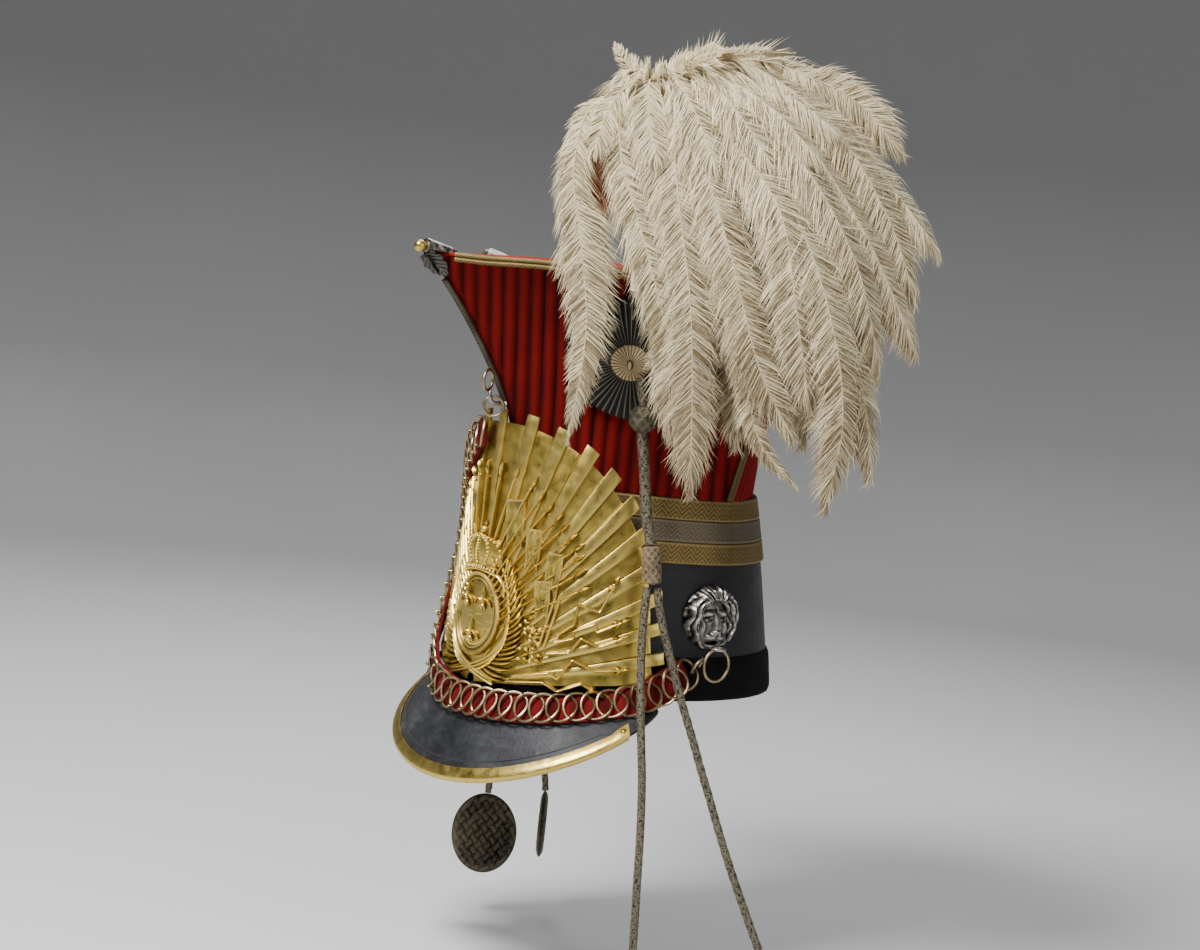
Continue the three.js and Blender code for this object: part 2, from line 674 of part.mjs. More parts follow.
// Lion mask: scalloped mane, domed face, muzzle, and the bail in its mouth; built for the left side
const BOSS_RINGS = [
  { scale: 1, lift: 0, scallop: 0.05 },
  { scale: 1, lift: 2.5, scallop: 0.05 },
  { scale: 0.84, lift: 6, scallop: 0.09 },
  { scale: 0.5, lift: 8, scallop: 0 },
];
const BOSS_SIDES = 14;
const BOSS_CLEAR = GAP + 0.2;
const BOSS_SEAT = skullSize(BOSS_Z).side + BOSS_CLEAR;
function lionBoss(side) {
  const rings = BOSS_RINGS.map(({ scale, lift, scallop }) => Array.from({ length: BOSS_SIDES }, (_, i) => {
    const angle = (2 * Math.PI * i) / BOSS_SIDES;
    const reach = scale * (1 + (i % 2 === 0 ? scallop : -scallop));
    const y = BOSS_HALF_WIDTH * reach * Math.cos(angle);
    const z = BOSS_Z + BOSS_HALF_HEIGHT * reach * Math.sin(angle);
    return vec(skullSize(z).side + BOSS_CLEAR + lift, y, z);
  }));
  const muzzle = closed(new THREE.SphereGeometry(1, 6, 4).scale(5, 6.5, 5.5));
  muzzle.translate(BOSS_SEAT + 8.5, 0, BOSS_Z - 8);
  const bail = wireRing(BAIL_RADIUS, 1, 10).rotateX(Math.PI / 2).translate(BOSS_SEAT + BAIL_OUT, 0, BAIL_Z);
  const lug = closed(new THREE.CylinderGeometry(2, 2, 7, 6).rotateZ(Math.PI / 2));
  lug.translate(BOSS_SEAT + BAIL_OUT - 3.6, 0, BAIL_Z + 3.5);
  return mirrored(fuse([loft(rings), muzzle, bail, lug]), side);
}

// Copy on the other side of the cap, with its faces still outward
function mirrored(geometry, side) {
  if (side > 0) return geometry;
  geometry.scale(-1, 1, 1);
  geometry.setIndex(Array.from(geometry.index.array).reverse());
  return geometry;
}

function bossRing(side) {
  const ring = wireRing(RING_RADIUS, RING_WIRE).rotateY(Math.PI / 2);
  ring.translate(side * (BOSS_SEAT + BAIL_OUT), 0, BAIL_Z - RING_RADIUS);
  return ring;
}

// Cockade: pleated disc across the hollow of the front left face, leaning with the face
const COCKADE_HALF_Z = COCKADE_RADIUS * Math.cos(radians(COCKADE_TILT));
const cockadeLow = facePoint(0, 0, COCKADE_Z - COCKADE_HALF_Z);
const cockadeHigh = facePoint(0, 0, COCKADE_Z + COCKADE_HALF_Z);
const cockadeUp = cockadeHigh.clone().sub(cockadeLow).normalize();
const cockadeAcross = vec(Math.SQRT1_2, Math.SQRT1_2, 0);
const cockadeNormal = cockadeAcross.clone().cross(cockadeUp);
const COCKADE_SEAT = 0.3;
const cockadePlace = new THREE.Matrix4().makeBasis(cockadeAcross, cockadeUp, cockadeNormal)
  .setPosition(cockadeLow.clone().lerp(cockadeHigh, 0.5).addScaledVector(cockadeNormal, COCKADE_SEAT));

function pleatedDisc(pleats, rings) {
  const rows = rings.map(({ radius, lift, pleat }) => Array.from({ length: pleats * 2 }, (_, i) => {
    const angle = (Math.PI * i) / pleats;
    return vec(radius * Math.cos(angle), radius * Math.sin(angle), lift + (i % 2 === 0 ? pleat : -pleat));
  }));
  return loft(rows).applyMatrix4(cockadePlace);
}

function cockade() {
  return pleatedDisc(COCKADE_PLEATS, [
    { radius: COCKADE_RADIUS, lift: 0, pleat: 0 },
    { radius: COCKADE_RADIUS, lift: 2.6, pleat: 0.9 },
    { radius: COCKADE_RADIUS * 0.26, lift: 4, pleat: 0.3 },
  ]);
}

function cockadeCentre() {
  return pleatedDisc(8, [
    { radius: 11.5, lift: 4.8, pleat: 0 },
    { radius: 11.5, lift: 6, pleat: 0.4 },
    { radius: 3, lift: 7, pleat: 0.1 },
  ]);
}

// Places on the cockade's side of the cap: along to the right as seen from there, out from the axis, and up
const SIDE_TURN = radians(50);
function sidePoint([along, out, up]) {
  const x = along * Math.cos(SIDE_TURN) + out * Math.sin(SIDE_TURN);
  const y = along * Math.sin(SIDE_TURN) - out * Math.cos(SIDE_TURN);
  return vec(x, y, up);
}

// Cap lines, each route as [along, out, up]
const CORD_ROUTES = {
  cord_top: [[-1, 100.8, 186.8], [-0.6, 101.8, 181], [0.5, 102, 176.5], [1.6, 102, 172.8]],
  cord_main: [[2.2, 102, 155], [4.2, 102.2, 144], [6.4, 102.5, 130], [8.4, 102.9, 116], [11, 103.4, 103],
    [13.8, 104, 92.8]],
  cord_left: [[14.4, 105, 68.2], [14.1, 106, 58], [14.2, 107.4, 46], [14.8, 109, 32], [15.8, 110.8, 18],
    [17.2, 113.6, 4], [18.8, 116, -10], [20.6, 117.4, -24], [22.4, 118, -38], [24, 118, -56], [25.2, 118, -76],
    [26, 118, -96], [26.8, 118, -114], [27.5, 118, -131], [28.1, 118, -147]],
  cord_right: [[19.8, 105, 68.2], [22.6, 105.3, 57], [26, 105.6, 45], [30, 106, 34], [34.6, 106.3, 21],
    [39.4, 106.6, 8], [44.2, 106.9, -4], [49.6, 107.2, -17], [55.4, 107.4, -32], [61.6, 107.6, -47],
    [68, 107.8, -63], [75, 108, -80], [83, 108, -98], [91.4, 108, -116], [101, 108, -136]],
};
const FLOUNDER_ROUTES = {
  flounder_cord_near: [[-93, -2.7, 11.4], [-93.6, -3.2, 0], [-94.4, -4.6, -16], [-94.9, -6.8, -34],
    [-95, -9.4, -52], [-94.7, -12.2, -70], [-94.2, -14.4, -84], [-93.8, -15.3, -94.6]],
  flounder_cord_far: [[-93, 2.7, 11.4], [-93.5, 4, 0], [-93.8, 7, -16], [-93.8, 11.6, -34], [-93.4, 17.4, -52],
    [-92.9, 23.6, -70], [-92.4, 28.4, -84], [-92.1, 30.3, -94.6]],
};
const KNOTS = {
  cord_knot: { from: [1.9, 102, 171.7], to: [1.9, 102, 155.8], radius: 8, swell: 0.62 },
  cord_slider: { from: [14, 104, 92.3], to: [17, 105, 69.5], radius: 5.6, swell: 0.9 },
  cord_left_end: { from: [28.2, 118, -147.5], to: [28.6, 118, -160], radius: 5, swell: 0.55 },
  cord_right_end: { from: [101.4, 108, -136.5], to: [107.4, 108, -147.5], radius: 5, swell: 0.55 },
};

// Barrel-shaped knot between two points
function knot({ from, to, radius, swell }) {
  const [start, end] = [sidePoint(from), sidePoint(to)];
  const length = start.distanceTo(end);
  const profile = [[0, 0], [swell, 0], [1, 0.28], [1, 0.72], [swell, 1], [0, 1]]
    .map(([r, h]) => new THREE.Vector2(r * radius, h * length));
  const turned = closed(new THREE.LatheGeometry(profile, 10));
  const turn = new THREE.Quaternion().setFromUnitVectors(vec(0, 1, 0), end.clone().sub(start).normalize());
  return turned.applyQuaternion(turn).translate(start.x, start.y, start.z);
}

// Flat woven ends of the lines on the right-hand side
const FLOUNDERS = [
  { name: "flounder_near", x: -93.8, y: -15.3, z: -121, halfWidth: 21, halfHeight: 26, turn: 50 },
  { name: "flounder_far", x: -92.1, y: 30.3, z: -117, halfWidth: 17, halfHeight: 22, turn: 140 },
];
const FLOUNDER_THICK = 5;
const FLOUNDER_SIDES = 12;
function flounder({ x, y, z, halfWidth, halfHeight, turn }) {
  const oval = Array.from({ length: FLOUNDER_SIDES }, (_, i) => (2 * Math.PI * i) / FLOUNDER_SIDES);
  const rows = [[0.8, -1], [1, -0.4], [1, 0.4], [0.8, 1]].map(([scale, side]) => oval.map((angle) => {
    const across = halfWidth * scale * Math.cos(angle);
    return vec(across, (side * FLOUNDER_THICK) / 2, halfHeight * scale * Math.sin(angle));
  }));
  return loft(rows).rotateZ(radians(turn)).translate(x, y, z);
}

// Plume: a wrapped stem and drooping feathers, each a strip through a crest, a fall and a tip
const STEM_ROUTE = [[-10, 125.2, 236], [-10.5, 125.2, 288], [-12, 125.2, 338]];
const STEM_DIAMETER = 6;
const PLUME_ROOT = [-12, 125, 346];
const HEAD_RADIUS = 20;
const HEAD_FLAT = 0.4;
const FEATHER_THICK = 5;
const FEATHERS = [
  { crest: [-42, 131, 340], fall: [-41, 136, 272], tip: [-38, 130, 152], width: 34, facing: 100 },
  { crest: [-33, 128, 352], fall: [-13, 140, 265], tip: [17, 136, 160], width: 34, facing: 95 },
  { crest: [-10, 140, 338], fall: [15, 148, 262], tip: [52, 146, 200], width: 34, facing: 90 },
  { crest: [2, 146, 330], fall: [22, 160, 232], tip: [32, 150, 133], width: 36, facing: 85 },
  { crest: [4, 134, 348], fall: [34, 152, 270], tip: [82, 148, 170], width: 40, facing: 80 },
  { crest: [32, 128, 345], fall: [86, 142, 266], tip: [110, 146, 134], width: 44, facing: 65 },
  { crest: [42, 112, 350], fall: [119, 104, 272], tip: [137, 98, 200], width: 44, facing: 40 },
  { crest: [46, 112, 358], fall: [104, 98, 320], tip: [154, 86, 282], width: 40, facing: 60 },
  { crest: [40, 98, 366], fall: [92, 82, 354], tip: [136, 70, 318], width: 40, facing: 70 },
  { crest: [52, 90, 352], fall: [118, 84, 280], tip: [156, 78, 226], width: 40, facing: 35 },
  { crest: [50, 72, 350], fall: [118, 60, 262], tip: [138, 52, 200], width: 42, facing: 15 },
  { crest: [-26, 98, 354], fall: [-40, 56, 314], tip: [-46, 24, 266], width: 40, facing: 255 },
  { crest: [4, 90, 360], fall: [16, 44, 316], tip: [24, 8, 266], width: 42, facing: 275 },
  { crest: [36, 78, 356], fall: [78, 34, 312], tip: [98, 0, 266], width: 42, facing: 310 },
];
const FEATHER_OUTLINE = [0.2, 0.9, 1, 0.2];
function feather({ crest, fall, tip, width, facing }) {
  const route = [PLUME_ROOT, crest, fall, tip].map(sidePoint);
  const curve = new THREE.CatmullRomCurve3(route, false, "centripetal");
  const turn = radians(facing);
  const side = sidePoint([-Math.sin(turn), Math.cos(turn), 0]);
  const rings = FEATHER_OUTLINE.map((share, i) => {
    const place = i / (FEATHER_OUTLINE.length - 1);
    const centre = curve.getPoint(place);
    const normal = curve.getTangent(place).cross(side).normalize();
    const half = (width / 2) * share;
    const thick = (FEATHER_THICK / 2) * Math.max(share, 0.5);
    return [[half, 0], [0, thick], [-half, 0], [0, -thick]]
      .map(([a, n]) => centre.clone().addScaledVector(side, a).addScaledVector(normal, n));
  });
  return loft(rings);
}

function plume() {
  const root = sidePoint(PLUME_ROOT);
  const head = closed(new THREE.SphereGeometry(HEAD_RADIUS, 8, 5).scale(1, 1, HEAD_FLAT));
  head.translate(root.x, root.y, root.z);
  return fuse([head, ...FEATHERS.map(feather)]);
}

// The assembly
piece("skull", skull(), "leather");
piece("base_band", bandRound(0, BAND_HEIGHT, GAP, BAND_THICK), "velvet");
const LACES = [["lace_gold_lower", "gold"], ["lace_silver", "silverLace"], ["lace_gold_upper", "gold"]];
LACES.forEach(([name, finish], i) => {
  const low = LACE_LOW + i * LACE_ROW;
  piece(name, bandRound(low + GAP / 2, low + LACE_ROW - GAP / 2, LACE_SEAT, LACE_THICK), finish);
});
piece("pavilion", pavilion(), "redCloth");
piece("top_cloth", topCloth(), "redCloth");
CORNERS.forEach((corner, i) => {
  piece(`top_braid_${corner}_${CORNERS[(i + 1) % 4]}`, topBraid(i), "gold");
  piece(`edge_braid_${corner}`, edgeBraid(i), "gold");
  piece(`corner_cap_${corner}`, cornerCap(i), "silver");
  piece(`corner_knob_${corner}`, cornerKnob(i), "brass");
});
piece("plate", plate(), "brass");
piece("plate_hook", tube(HOOK_ROUTE.map((p) => vec(...p)), HOOK_WIRE, 6, 6), "silver");
for (const { name, x, y, z, radius, turn } of END_RINGS) {
  const ring = wireRing(radius, RING_WIRE, 10).rotateX(Math.PI / 2).rotateZ(radians(turn));
  piece(name, ring.translate(x, y, z), "steel");
}
piece("visor", visor(), "leather");
piece("visor_trim", visorTrim(), "brass");
piece("chin_strap", chinStrap(), "redCloth");
piece("chin_chain", chinChain(), "steel");
for (const [word, side] of [["left", 1], ["right", -1]]) {
  piece(`lion_boss_${word}`, lionBoss(side), "silver");
  piece(`boss_ring_${word}`, bossRing(side), "steel");
}
piece("cockade", cockade(), "blackRibbon");
piece("cockade_centre", cockadeCentre(), "creamRibbon");
for (const [name, route] of Object.entries(CORD_ROUTES)) {
  const thick = name === "cord_top" || name === "cord_main" ? CORD_MAIN : CORD_BRANCH;
  piece(name, tube(route.map(sidePoint), thick, 8), "cord");
}
for (const [name, route] of Object.entries(FLOUNDER_ROUTES)) {
  piece(name, tube(route.map((p) => vec(...p)), CORD_FLOUNDER, 8), "cord");
}
for (const [name, shape] of Object.entries(KNOTS)) piece(name, knot(shape), "cord");
for (const shape of FLOUNDERS) piece(shape.name, flounder(shape), "cord");
piece("plume_stem", tube(STEM_ROUTE.map(sidePoint), STEM_DIAMETER, 8, 4), "gold");
piece("plume", plume(), "feather");

export default cap;
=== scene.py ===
"""Lancer cap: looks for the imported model. Lengths are in millimetres and become metres in the meshes."""
import json
import math
import random

import bpy
import bmesh
import numpy as np
from mathutils import Matrix, Vector, noise
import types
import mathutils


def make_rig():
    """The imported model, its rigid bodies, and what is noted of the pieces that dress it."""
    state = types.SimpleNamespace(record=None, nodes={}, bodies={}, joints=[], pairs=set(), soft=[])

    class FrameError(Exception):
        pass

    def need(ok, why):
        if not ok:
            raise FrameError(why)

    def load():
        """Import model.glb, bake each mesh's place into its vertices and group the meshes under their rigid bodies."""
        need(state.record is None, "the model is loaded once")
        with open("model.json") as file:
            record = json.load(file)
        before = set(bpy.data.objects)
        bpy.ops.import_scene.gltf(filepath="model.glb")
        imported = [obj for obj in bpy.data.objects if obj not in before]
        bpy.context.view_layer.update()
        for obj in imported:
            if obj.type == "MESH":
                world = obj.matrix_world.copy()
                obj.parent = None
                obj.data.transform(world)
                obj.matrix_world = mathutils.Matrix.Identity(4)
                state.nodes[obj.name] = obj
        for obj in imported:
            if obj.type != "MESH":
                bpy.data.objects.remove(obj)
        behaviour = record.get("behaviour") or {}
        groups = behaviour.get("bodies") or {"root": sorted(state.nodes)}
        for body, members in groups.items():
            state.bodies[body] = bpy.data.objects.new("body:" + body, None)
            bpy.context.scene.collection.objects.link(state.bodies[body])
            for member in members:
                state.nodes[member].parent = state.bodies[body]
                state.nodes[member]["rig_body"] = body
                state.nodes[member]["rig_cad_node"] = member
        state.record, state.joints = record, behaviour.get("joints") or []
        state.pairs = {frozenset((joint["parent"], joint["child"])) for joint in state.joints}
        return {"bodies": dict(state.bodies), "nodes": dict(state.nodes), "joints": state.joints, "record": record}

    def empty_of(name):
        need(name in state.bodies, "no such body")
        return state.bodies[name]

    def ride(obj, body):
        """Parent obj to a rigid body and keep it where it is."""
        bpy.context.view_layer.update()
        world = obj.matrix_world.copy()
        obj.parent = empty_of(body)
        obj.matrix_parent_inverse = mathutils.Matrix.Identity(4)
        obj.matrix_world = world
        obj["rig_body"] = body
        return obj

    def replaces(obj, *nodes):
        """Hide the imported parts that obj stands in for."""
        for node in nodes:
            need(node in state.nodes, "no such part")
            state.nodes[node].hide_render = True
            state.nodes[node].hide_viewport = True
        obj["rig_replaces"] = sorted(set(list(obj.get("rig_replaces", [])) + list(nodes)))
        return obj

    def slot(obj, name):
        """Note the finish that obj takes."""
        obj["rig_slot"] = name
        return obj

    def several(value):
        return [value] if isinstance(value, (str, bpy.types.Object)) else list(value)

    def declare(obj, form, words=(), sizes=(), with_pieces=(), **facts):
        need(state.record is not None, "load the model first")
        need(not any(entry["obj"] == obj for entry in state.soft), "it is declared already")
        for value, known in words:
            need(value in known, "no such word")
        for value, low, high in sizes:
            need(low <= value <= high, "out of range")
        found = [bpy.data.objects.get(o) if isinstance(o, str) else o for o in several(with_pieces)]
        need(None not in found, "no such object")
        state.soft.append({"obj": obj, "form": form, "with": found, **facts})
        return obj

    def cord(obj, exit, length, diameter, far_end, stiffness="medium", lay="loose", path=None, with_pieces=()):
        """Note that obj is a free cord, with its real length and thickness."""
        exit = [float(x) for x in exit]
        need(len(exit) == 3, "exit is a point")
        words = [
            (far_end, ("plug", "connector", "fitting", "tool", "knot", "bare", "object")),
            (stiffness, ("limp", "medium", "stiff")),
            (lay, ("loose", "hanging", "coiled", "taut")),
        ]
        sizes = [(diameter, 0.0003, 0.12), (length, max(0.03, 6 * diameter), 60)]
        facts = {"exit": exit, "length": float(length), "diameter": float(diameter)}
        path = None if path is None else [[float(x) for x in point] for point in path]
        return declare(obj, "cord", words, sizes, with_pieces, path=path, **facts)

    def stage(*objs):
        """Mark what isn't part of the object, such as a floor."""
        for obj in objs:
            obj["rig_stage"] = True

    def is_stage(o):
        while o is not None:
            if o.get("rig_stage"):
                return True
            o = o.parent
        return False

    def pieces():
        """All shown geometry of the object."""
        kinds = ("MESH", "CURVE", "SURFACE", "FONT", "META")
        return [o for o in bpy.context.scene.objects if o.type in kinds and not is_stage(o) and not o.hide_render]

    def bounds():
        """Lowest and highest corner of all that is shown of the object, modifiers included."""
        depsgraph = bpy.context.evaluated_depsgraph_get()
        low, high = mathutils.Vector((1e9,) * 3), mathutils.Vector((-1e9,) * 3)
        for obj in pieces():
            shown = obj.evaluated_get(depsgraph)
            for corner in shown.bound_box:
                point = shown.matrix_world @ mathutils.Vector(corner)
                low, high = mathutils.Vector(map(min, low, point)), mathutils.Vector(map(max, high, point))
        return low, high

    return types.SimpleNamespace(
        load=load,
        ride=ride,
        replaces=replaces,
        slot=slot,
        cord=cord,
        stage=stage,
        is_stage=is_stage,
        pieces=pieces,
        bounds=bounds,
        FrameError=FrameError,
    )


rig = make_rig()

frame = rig.load()
cad_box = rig.bounds()

MM = 0.001
TAU = 2 * math.pi
UP = Vector((0, 0, 1))
draw = random.Random(7)


# Directions round the cap
def compass(degrees):
    """Outward and sideways directions at an angle from the front."""
    turn = math.radians(degrees)
    return Vector((math.sin(turn), -math.cos(turn), 0)), Vector((math.cos(turn), math.sin(turn), 0))


def sky(turn, rise):
    """Direction at an angle from the front and an angle above level."""
    rise = math.radians(rise)
    return compass(turn)[0] * math.cos(rise) + UP * math.sin(rise)


# Camera
VIEW_TURN = 50.743
VIEW_RISE = 4.277
VIEW_ROLL = math.radians(5.945)
VIEW_FROM = (1195.64, -1003.85, 238.37)
FOCAL_LENGTH = 76.6
SENSOR_WIDTH = 36


def add_camera():
    right = compass(VIEW_TURN)[1]
    back = sky(VIEW_TURN, VIEW_RISE)
    up = back.cross(right)
    x_axis = right * math.cos(VIEW_ROLL) + up * math.sin(VIEW_ROLL)
    y_axis = up * math.cos(VIEW_ROLL) - right * math.sin(VIEW_ROLL)
    turn = Matrix((x_axis, y_axis, back)).transposed().to_4x4()
    camera = bpy.data.objects.new("camera", bpy.data.cameras.new("camera"))
    camera.data.lens = FOCAL_LENGTH
    camera.data.sensor_width = SENSOR_WIDTH
    camera.matrix_world = Matrix.Translation(Vector(VIEW_FROM) * MM) @ turn
    bpy.context.collection.objects.link(camera)
    bpy.context.scene.camera = camera


add_camera()


# Small tools
def lerp(a, b, share):
    return a + (b - a) * share


def clamp(x):
    return min(1.0, max(0.0, x))


def steps(low, high, count):
    return [lerp(low, high, i / count) for i in range(count + 1)]


def turns(count):
    return [TAU * k / count for k in range(count)]


def circle(count):
    """Cosine and sine at even steps round a circle."""
    return [(math.cos(angle), math.sin(angle)) for angle in turns(count)]


def table(pairs, at):
    """Value at a place between the rows of a table of (place, value)."""
    return float(np.interp(at, [p for p, _ in pairs], [v for _, v in pairs]))


def bump(x):
    """1 at 0, falling smoothly to 0 at 1 and beyond."""
    return max(0.0, 1 - x * x) ** 2


def oval_bump(x, y, half_x, half_y):
    return bump(math.hypot(x / half_x, y / half_y))


def rough(place, size, seed):
    """Smooth noise from -1 to 1."""
    x, y, z = place
    return noise.noise(Vector((x / size + seed, y / size - seed, z / size + 2.7 * seed)))


def spline(points, count):
    """Points along a smooth curve through the given ones, about evenly spaced."""
    fineness = 24
    rows = [Vector(p) for p in points]
    rows = [2 * rows[0] - rows[1], *rows, 2 * rows[-1] - rows[-2]]
    fine = []
    for a, b, c, d in zip(rows, rows[1:], rows[2:], rows[3:]):
        for i in range(fineness):
            t = i / fineness
            square = (2 * a - 5 * b + 4 * c - d) * t * t
            cube = (3 * b - a - 3 * c + d) * t ** 3
            fine.append(0.5 * (2 * b + (c - a) * t + square + cube))
    fine.append(rows[-2])
    run = [0.0]
    for p, q in zip(fine, fine[1:]):
        run.append(run[-1] + (q - p).length)
    places = np.linspace(0, run[-1], count + 1)
    columns = [np.interp(places, run, [p[k] for p in fine]) for k in range(3)]
    return [Vector(p) for p in zip(*columns)]


def length_of(points):
    return sum((Vector(q) - Vector(p)).length for p, q in zip(points, points[1:]))


def frames(points):
    """For each point of a path a side and a normal, turning as little as they can."""
    out = []
    side = None
    for i in range(len(points)):
        tangent = (points[min(i + 1, len(points) - 1)] - points[max(i - 1, 0)]).normalized()
        if side is None:
            side = tangent.cross(UP)
            if side.length < 0.1:
                side = tangent.cross(Vector((1, 0, 0)))
        side = (side - tangent * side.dot(tangent)).normalized()
        out.append((side, side.cross(tangent)))
    return out


class Shape:
    """Points, faces and a tint from 0 in the hollows to 1 on the crests, gathered into one mesh."""

    BACK_TINT = 0.3

    def __init__(self):
        self.points, self.faces, self.tints = [], [], []

    def add(self, rows, tints):
        """Take in rows of points with rows of tints or one tint; gives the first point's number."""
        first = len(self.points)
        self.points += [tuple(p) for row in rows for p in row]
        if isinstance(tints, list):
            self.tints += [tint for row in tints for tint in row]
        else:
            self.tints += [tints] * (len(self.points) - first)
        return first

    def grid(self, rows, tints, round_rows=False, round_columns=False, ends=False):
        first = self.add(rows, tints)
        height, width = len(rows), len(rows[0])
        for r in range(height if round_rows else height - 1):
            for c in range(width if round_columns else width - 1):
                a, b = first + r * width, first + (r + 1) % height * width
                d = (c + 1) % width
                self.faces.append((a + c, a + d, b + d, b + c))
        if ends:
            self.faces.append(tuple(first + c for c in reversed(range(width))))
            self.faces.append(tuple(first + (height - 1) * width + c for c in range(width)))

    def surface(self, rows, columns, at, **closing):
        """Grid whose points and tints come from at(row, column)."""
        made = [[at(row, column) for column in columns] for row in rows]
        self.grid(*[[[spot[k] for spot in line] for line in made] for k in range(2)], **closing)

    def relief(self, rows, columns, at):
        """Thin closed body whose front points, back points and tints come from at(row, column)."""
        made = [[at(row, column) for column in columns] for row in rows]
        self.slab(*[[[spot[k] for spot in line] for line in made] for k in range(3)])

    def slab(self, front, back, tints):
        """Closed thin body between two open grids of equal size."""
        height, width = len(front), len(front[0])
        first = self.add(front, tints)
        under = self.add(back, self.BACK_TINT)
        for r in range(height - 1):
            for c in range(width - 1):
                quad = [r * width + c, r * width + c + 1, (r + 1) * width + c + 1, (r + 1) * width + c]
                self.faces.append(tuple(first + q for q in quad))
                self.faces.append(tuple(under + q for q in reversed(quad)))
        edge = list(range(width)) + [r * width + width - 1 for r in range(1, height)]
        edge += [(height - 1) * width + c for c in reversed(range(width - 1))]
        edge += [r * width for r in reversed(range(1, height - 1))]
        for a, b in zip(edge, edge[1:] + edge[:1]):
            self.faces.append((first + b, first + a, under + a, under + b))

    def tube(self, points, radius, sides, lobes=None, tint=1.0):
        """Tube along points; lobes(place, angle) scales the radius, and tints the hollows."""
        run = 0.0
        rows, tints = [], []
        for i, (point, (side, normal)) in enumerate(zip(points, frames(points))):
            if i:
                run += (points[i] - points[i - 1]).length
            size = radius(i / (len(points) - 1)) if callable(radius) else radius
            grows = [lobes(run, angle) if lobes else 1.0 for angle in turns(sides)]
            rows.append([point + (side * a + normal * b) * size * grow
                         for (a, b), grow in zip(circle(sides), grows)])
            tints.append([tint * (clamp((grow - 0.8) / 0.25) if lobes else 1.0) for grow in grows])
        self.grid(rows, tints, round_columns=True, ends=True)

    def ring(self, centre, axis_a, axis_b, radius, wire, around=36, sides=8, tint=1.0):
        normal = axis_a.cross(axis_b).normalized()
        rows = []
        for a, b in circle(around):
            out = axis_a * a + axis_b * b
            rows.append([centre + out * (radius + wire * c) + normal * wire * s for c, s in circle(sides)])
        self.grid(rows, tint, round_rows=True, round_columns=True)

    def ball(self, centre, axes, around, rows, tint):
        """Ellipsoid with three half axes as vectors."""
        a, b, c = axes
        rings = []
        for r in range(1, rows):
            wide, high = math.sin(math.pi * r / rows), math.cos(math.pi * r / rows)
            rings.append([centre + (a * x + b * y) * wide + c * high for x, y in circle(around)])
        self.grid(rings, tint, round_columns=True, ends=True)

    def turned(self, base, axis, profile, tint):
        """Lathe: profile rows of (radius, height) along a unit axis from a base."""
        side = axis.cross(Vector((0.3, 0.2, 1))).normalized()
        other = axis.cross(side)
        rows = [[base + axis * h + (side * a + other * b) * r for a, b in circle(32)] for r, h in profile]
        self.grid(rows, tint, round_columns=True, ends=True)


def mesh_object(name, shape, material):
    mesh = bpy.data.meshes.new(name)
    mesh.from_pydata([(x * MM, y * MM, z * MM) for x, y, z in shape.points], [], shape.faces)
    mesh.polygons.foreach_set("use_smooth", [True] * len(mesh.polygons))
    mesh.materials.append(material)
    obj = bpy.data.objects.new(name, mesh)
    bpy.context.collection.objects.link(obj)
    return obj


SHARP_ANGLE = math.radians(50)


def piece(name, shape, material, slot, stands_for=()):
    obj = mesh_object(name, shape, material)
    tint = obj.data.attributes.new("tint", "FLOAT", "POINT")
    tint.data.foreach_set("value", shape.tints)
    work = bmesh.new()
    work.from_mesh(obj.data)
    bmesh.ops.recalc_face_normals(work, faces=work.faces)
    work.to_mesh(obj.data)
    work.free()
    obj.data.set_sharp_from_angle(angle=SHARP_ANGLE)
    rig.ride(obj, "root")
    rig.slot(obj, slot)
    if stands_for:
        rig.replaces(obj, *stands_for)
    return obj


# Materials
class Paint:
    """A material whose colour, roughness and bump come from noise and from the mesh's tint."""

    def __init__(self, name, **sockets):
        self.material = bpy.data.materials.new(name)
        self.material.use_nodes = True
        self.tree = self.material.node_tree
        self.shader = self.tree.nodes["Principled BSDF"]
        for socket, value in sockets.items():
            self.shader.inputs[socket.replace("_", " ")].default_value = value

    def node(self, kind, settings=None, **links):
        """Node with its settings; a link's name is its socket's, or _ and the socket's number."""
        made = self.tree.nodes.new("ShaderNode" + kind)
        for key, value in (settings or {}).items():
            if isinstance(key, str) and hasattr(made, key):
                setattr(made, key, value)
            else:
                made.inputs[key].default_value = value
        for key, source in links.items():
            self.tree.links.new(source, made.inputs[int(key[1:]) if key[1:].isdigit() else key])
        return made

    def tint(self):
        return self.node("Attribute", {"attribute_name": "tint"}).outputs["Fac"]

    def place(self):
        return self.node("TexCoord").outputs["Object"]

    def grain(self, scale, detail):
        return self.node("TexNoise", {"Scale": scale, "Detail": detail}, Vector=self.place()).outputs["Fac"]

    def sum(self, a, b, weight):
        """a plus weight times b less its middle."""
        shift = self.node("Math", {"operation": "MULTIPLY_ADD", 1: weight, 2: -weight / 2}, _0=b).outputs[0]
        return self.node("Math", {"operation": "ADD"}, _0=a, _1=shift).outputs[0]

    def ramp(self, source, stops):
        """Colours, or plain values, between stops of (place, colour)."""
        made = self.node("ValToRGB", None, Fac=source)
        line = made.color_ramp.elements
        while len(line) < len(stops):
            line.new(0.5)
        for stop, (place, colour) in zip(line, stops):
            stop.position = place
            stop.color = (*colour, 1) if isinstance(colour, tuple) else (colour, colour, colour, 1)
        return made.outputs["Color"]

    def set(self, socket, source):
        self.tree.links.new(source, self.shader.inputs[socket])

    def bumps(self, *layers):
        """Layers of (height, distance in millimetres), one on the other."""
        under = None
        for height, distance in layers:
            made = self.node("Bump", {"Distance": distance * MM}, Height=height)
            if under:
                self.tree.links.new(under, made.inputs["Normal"])
            under = made.outputs[0]
        self.set("Normal", under)


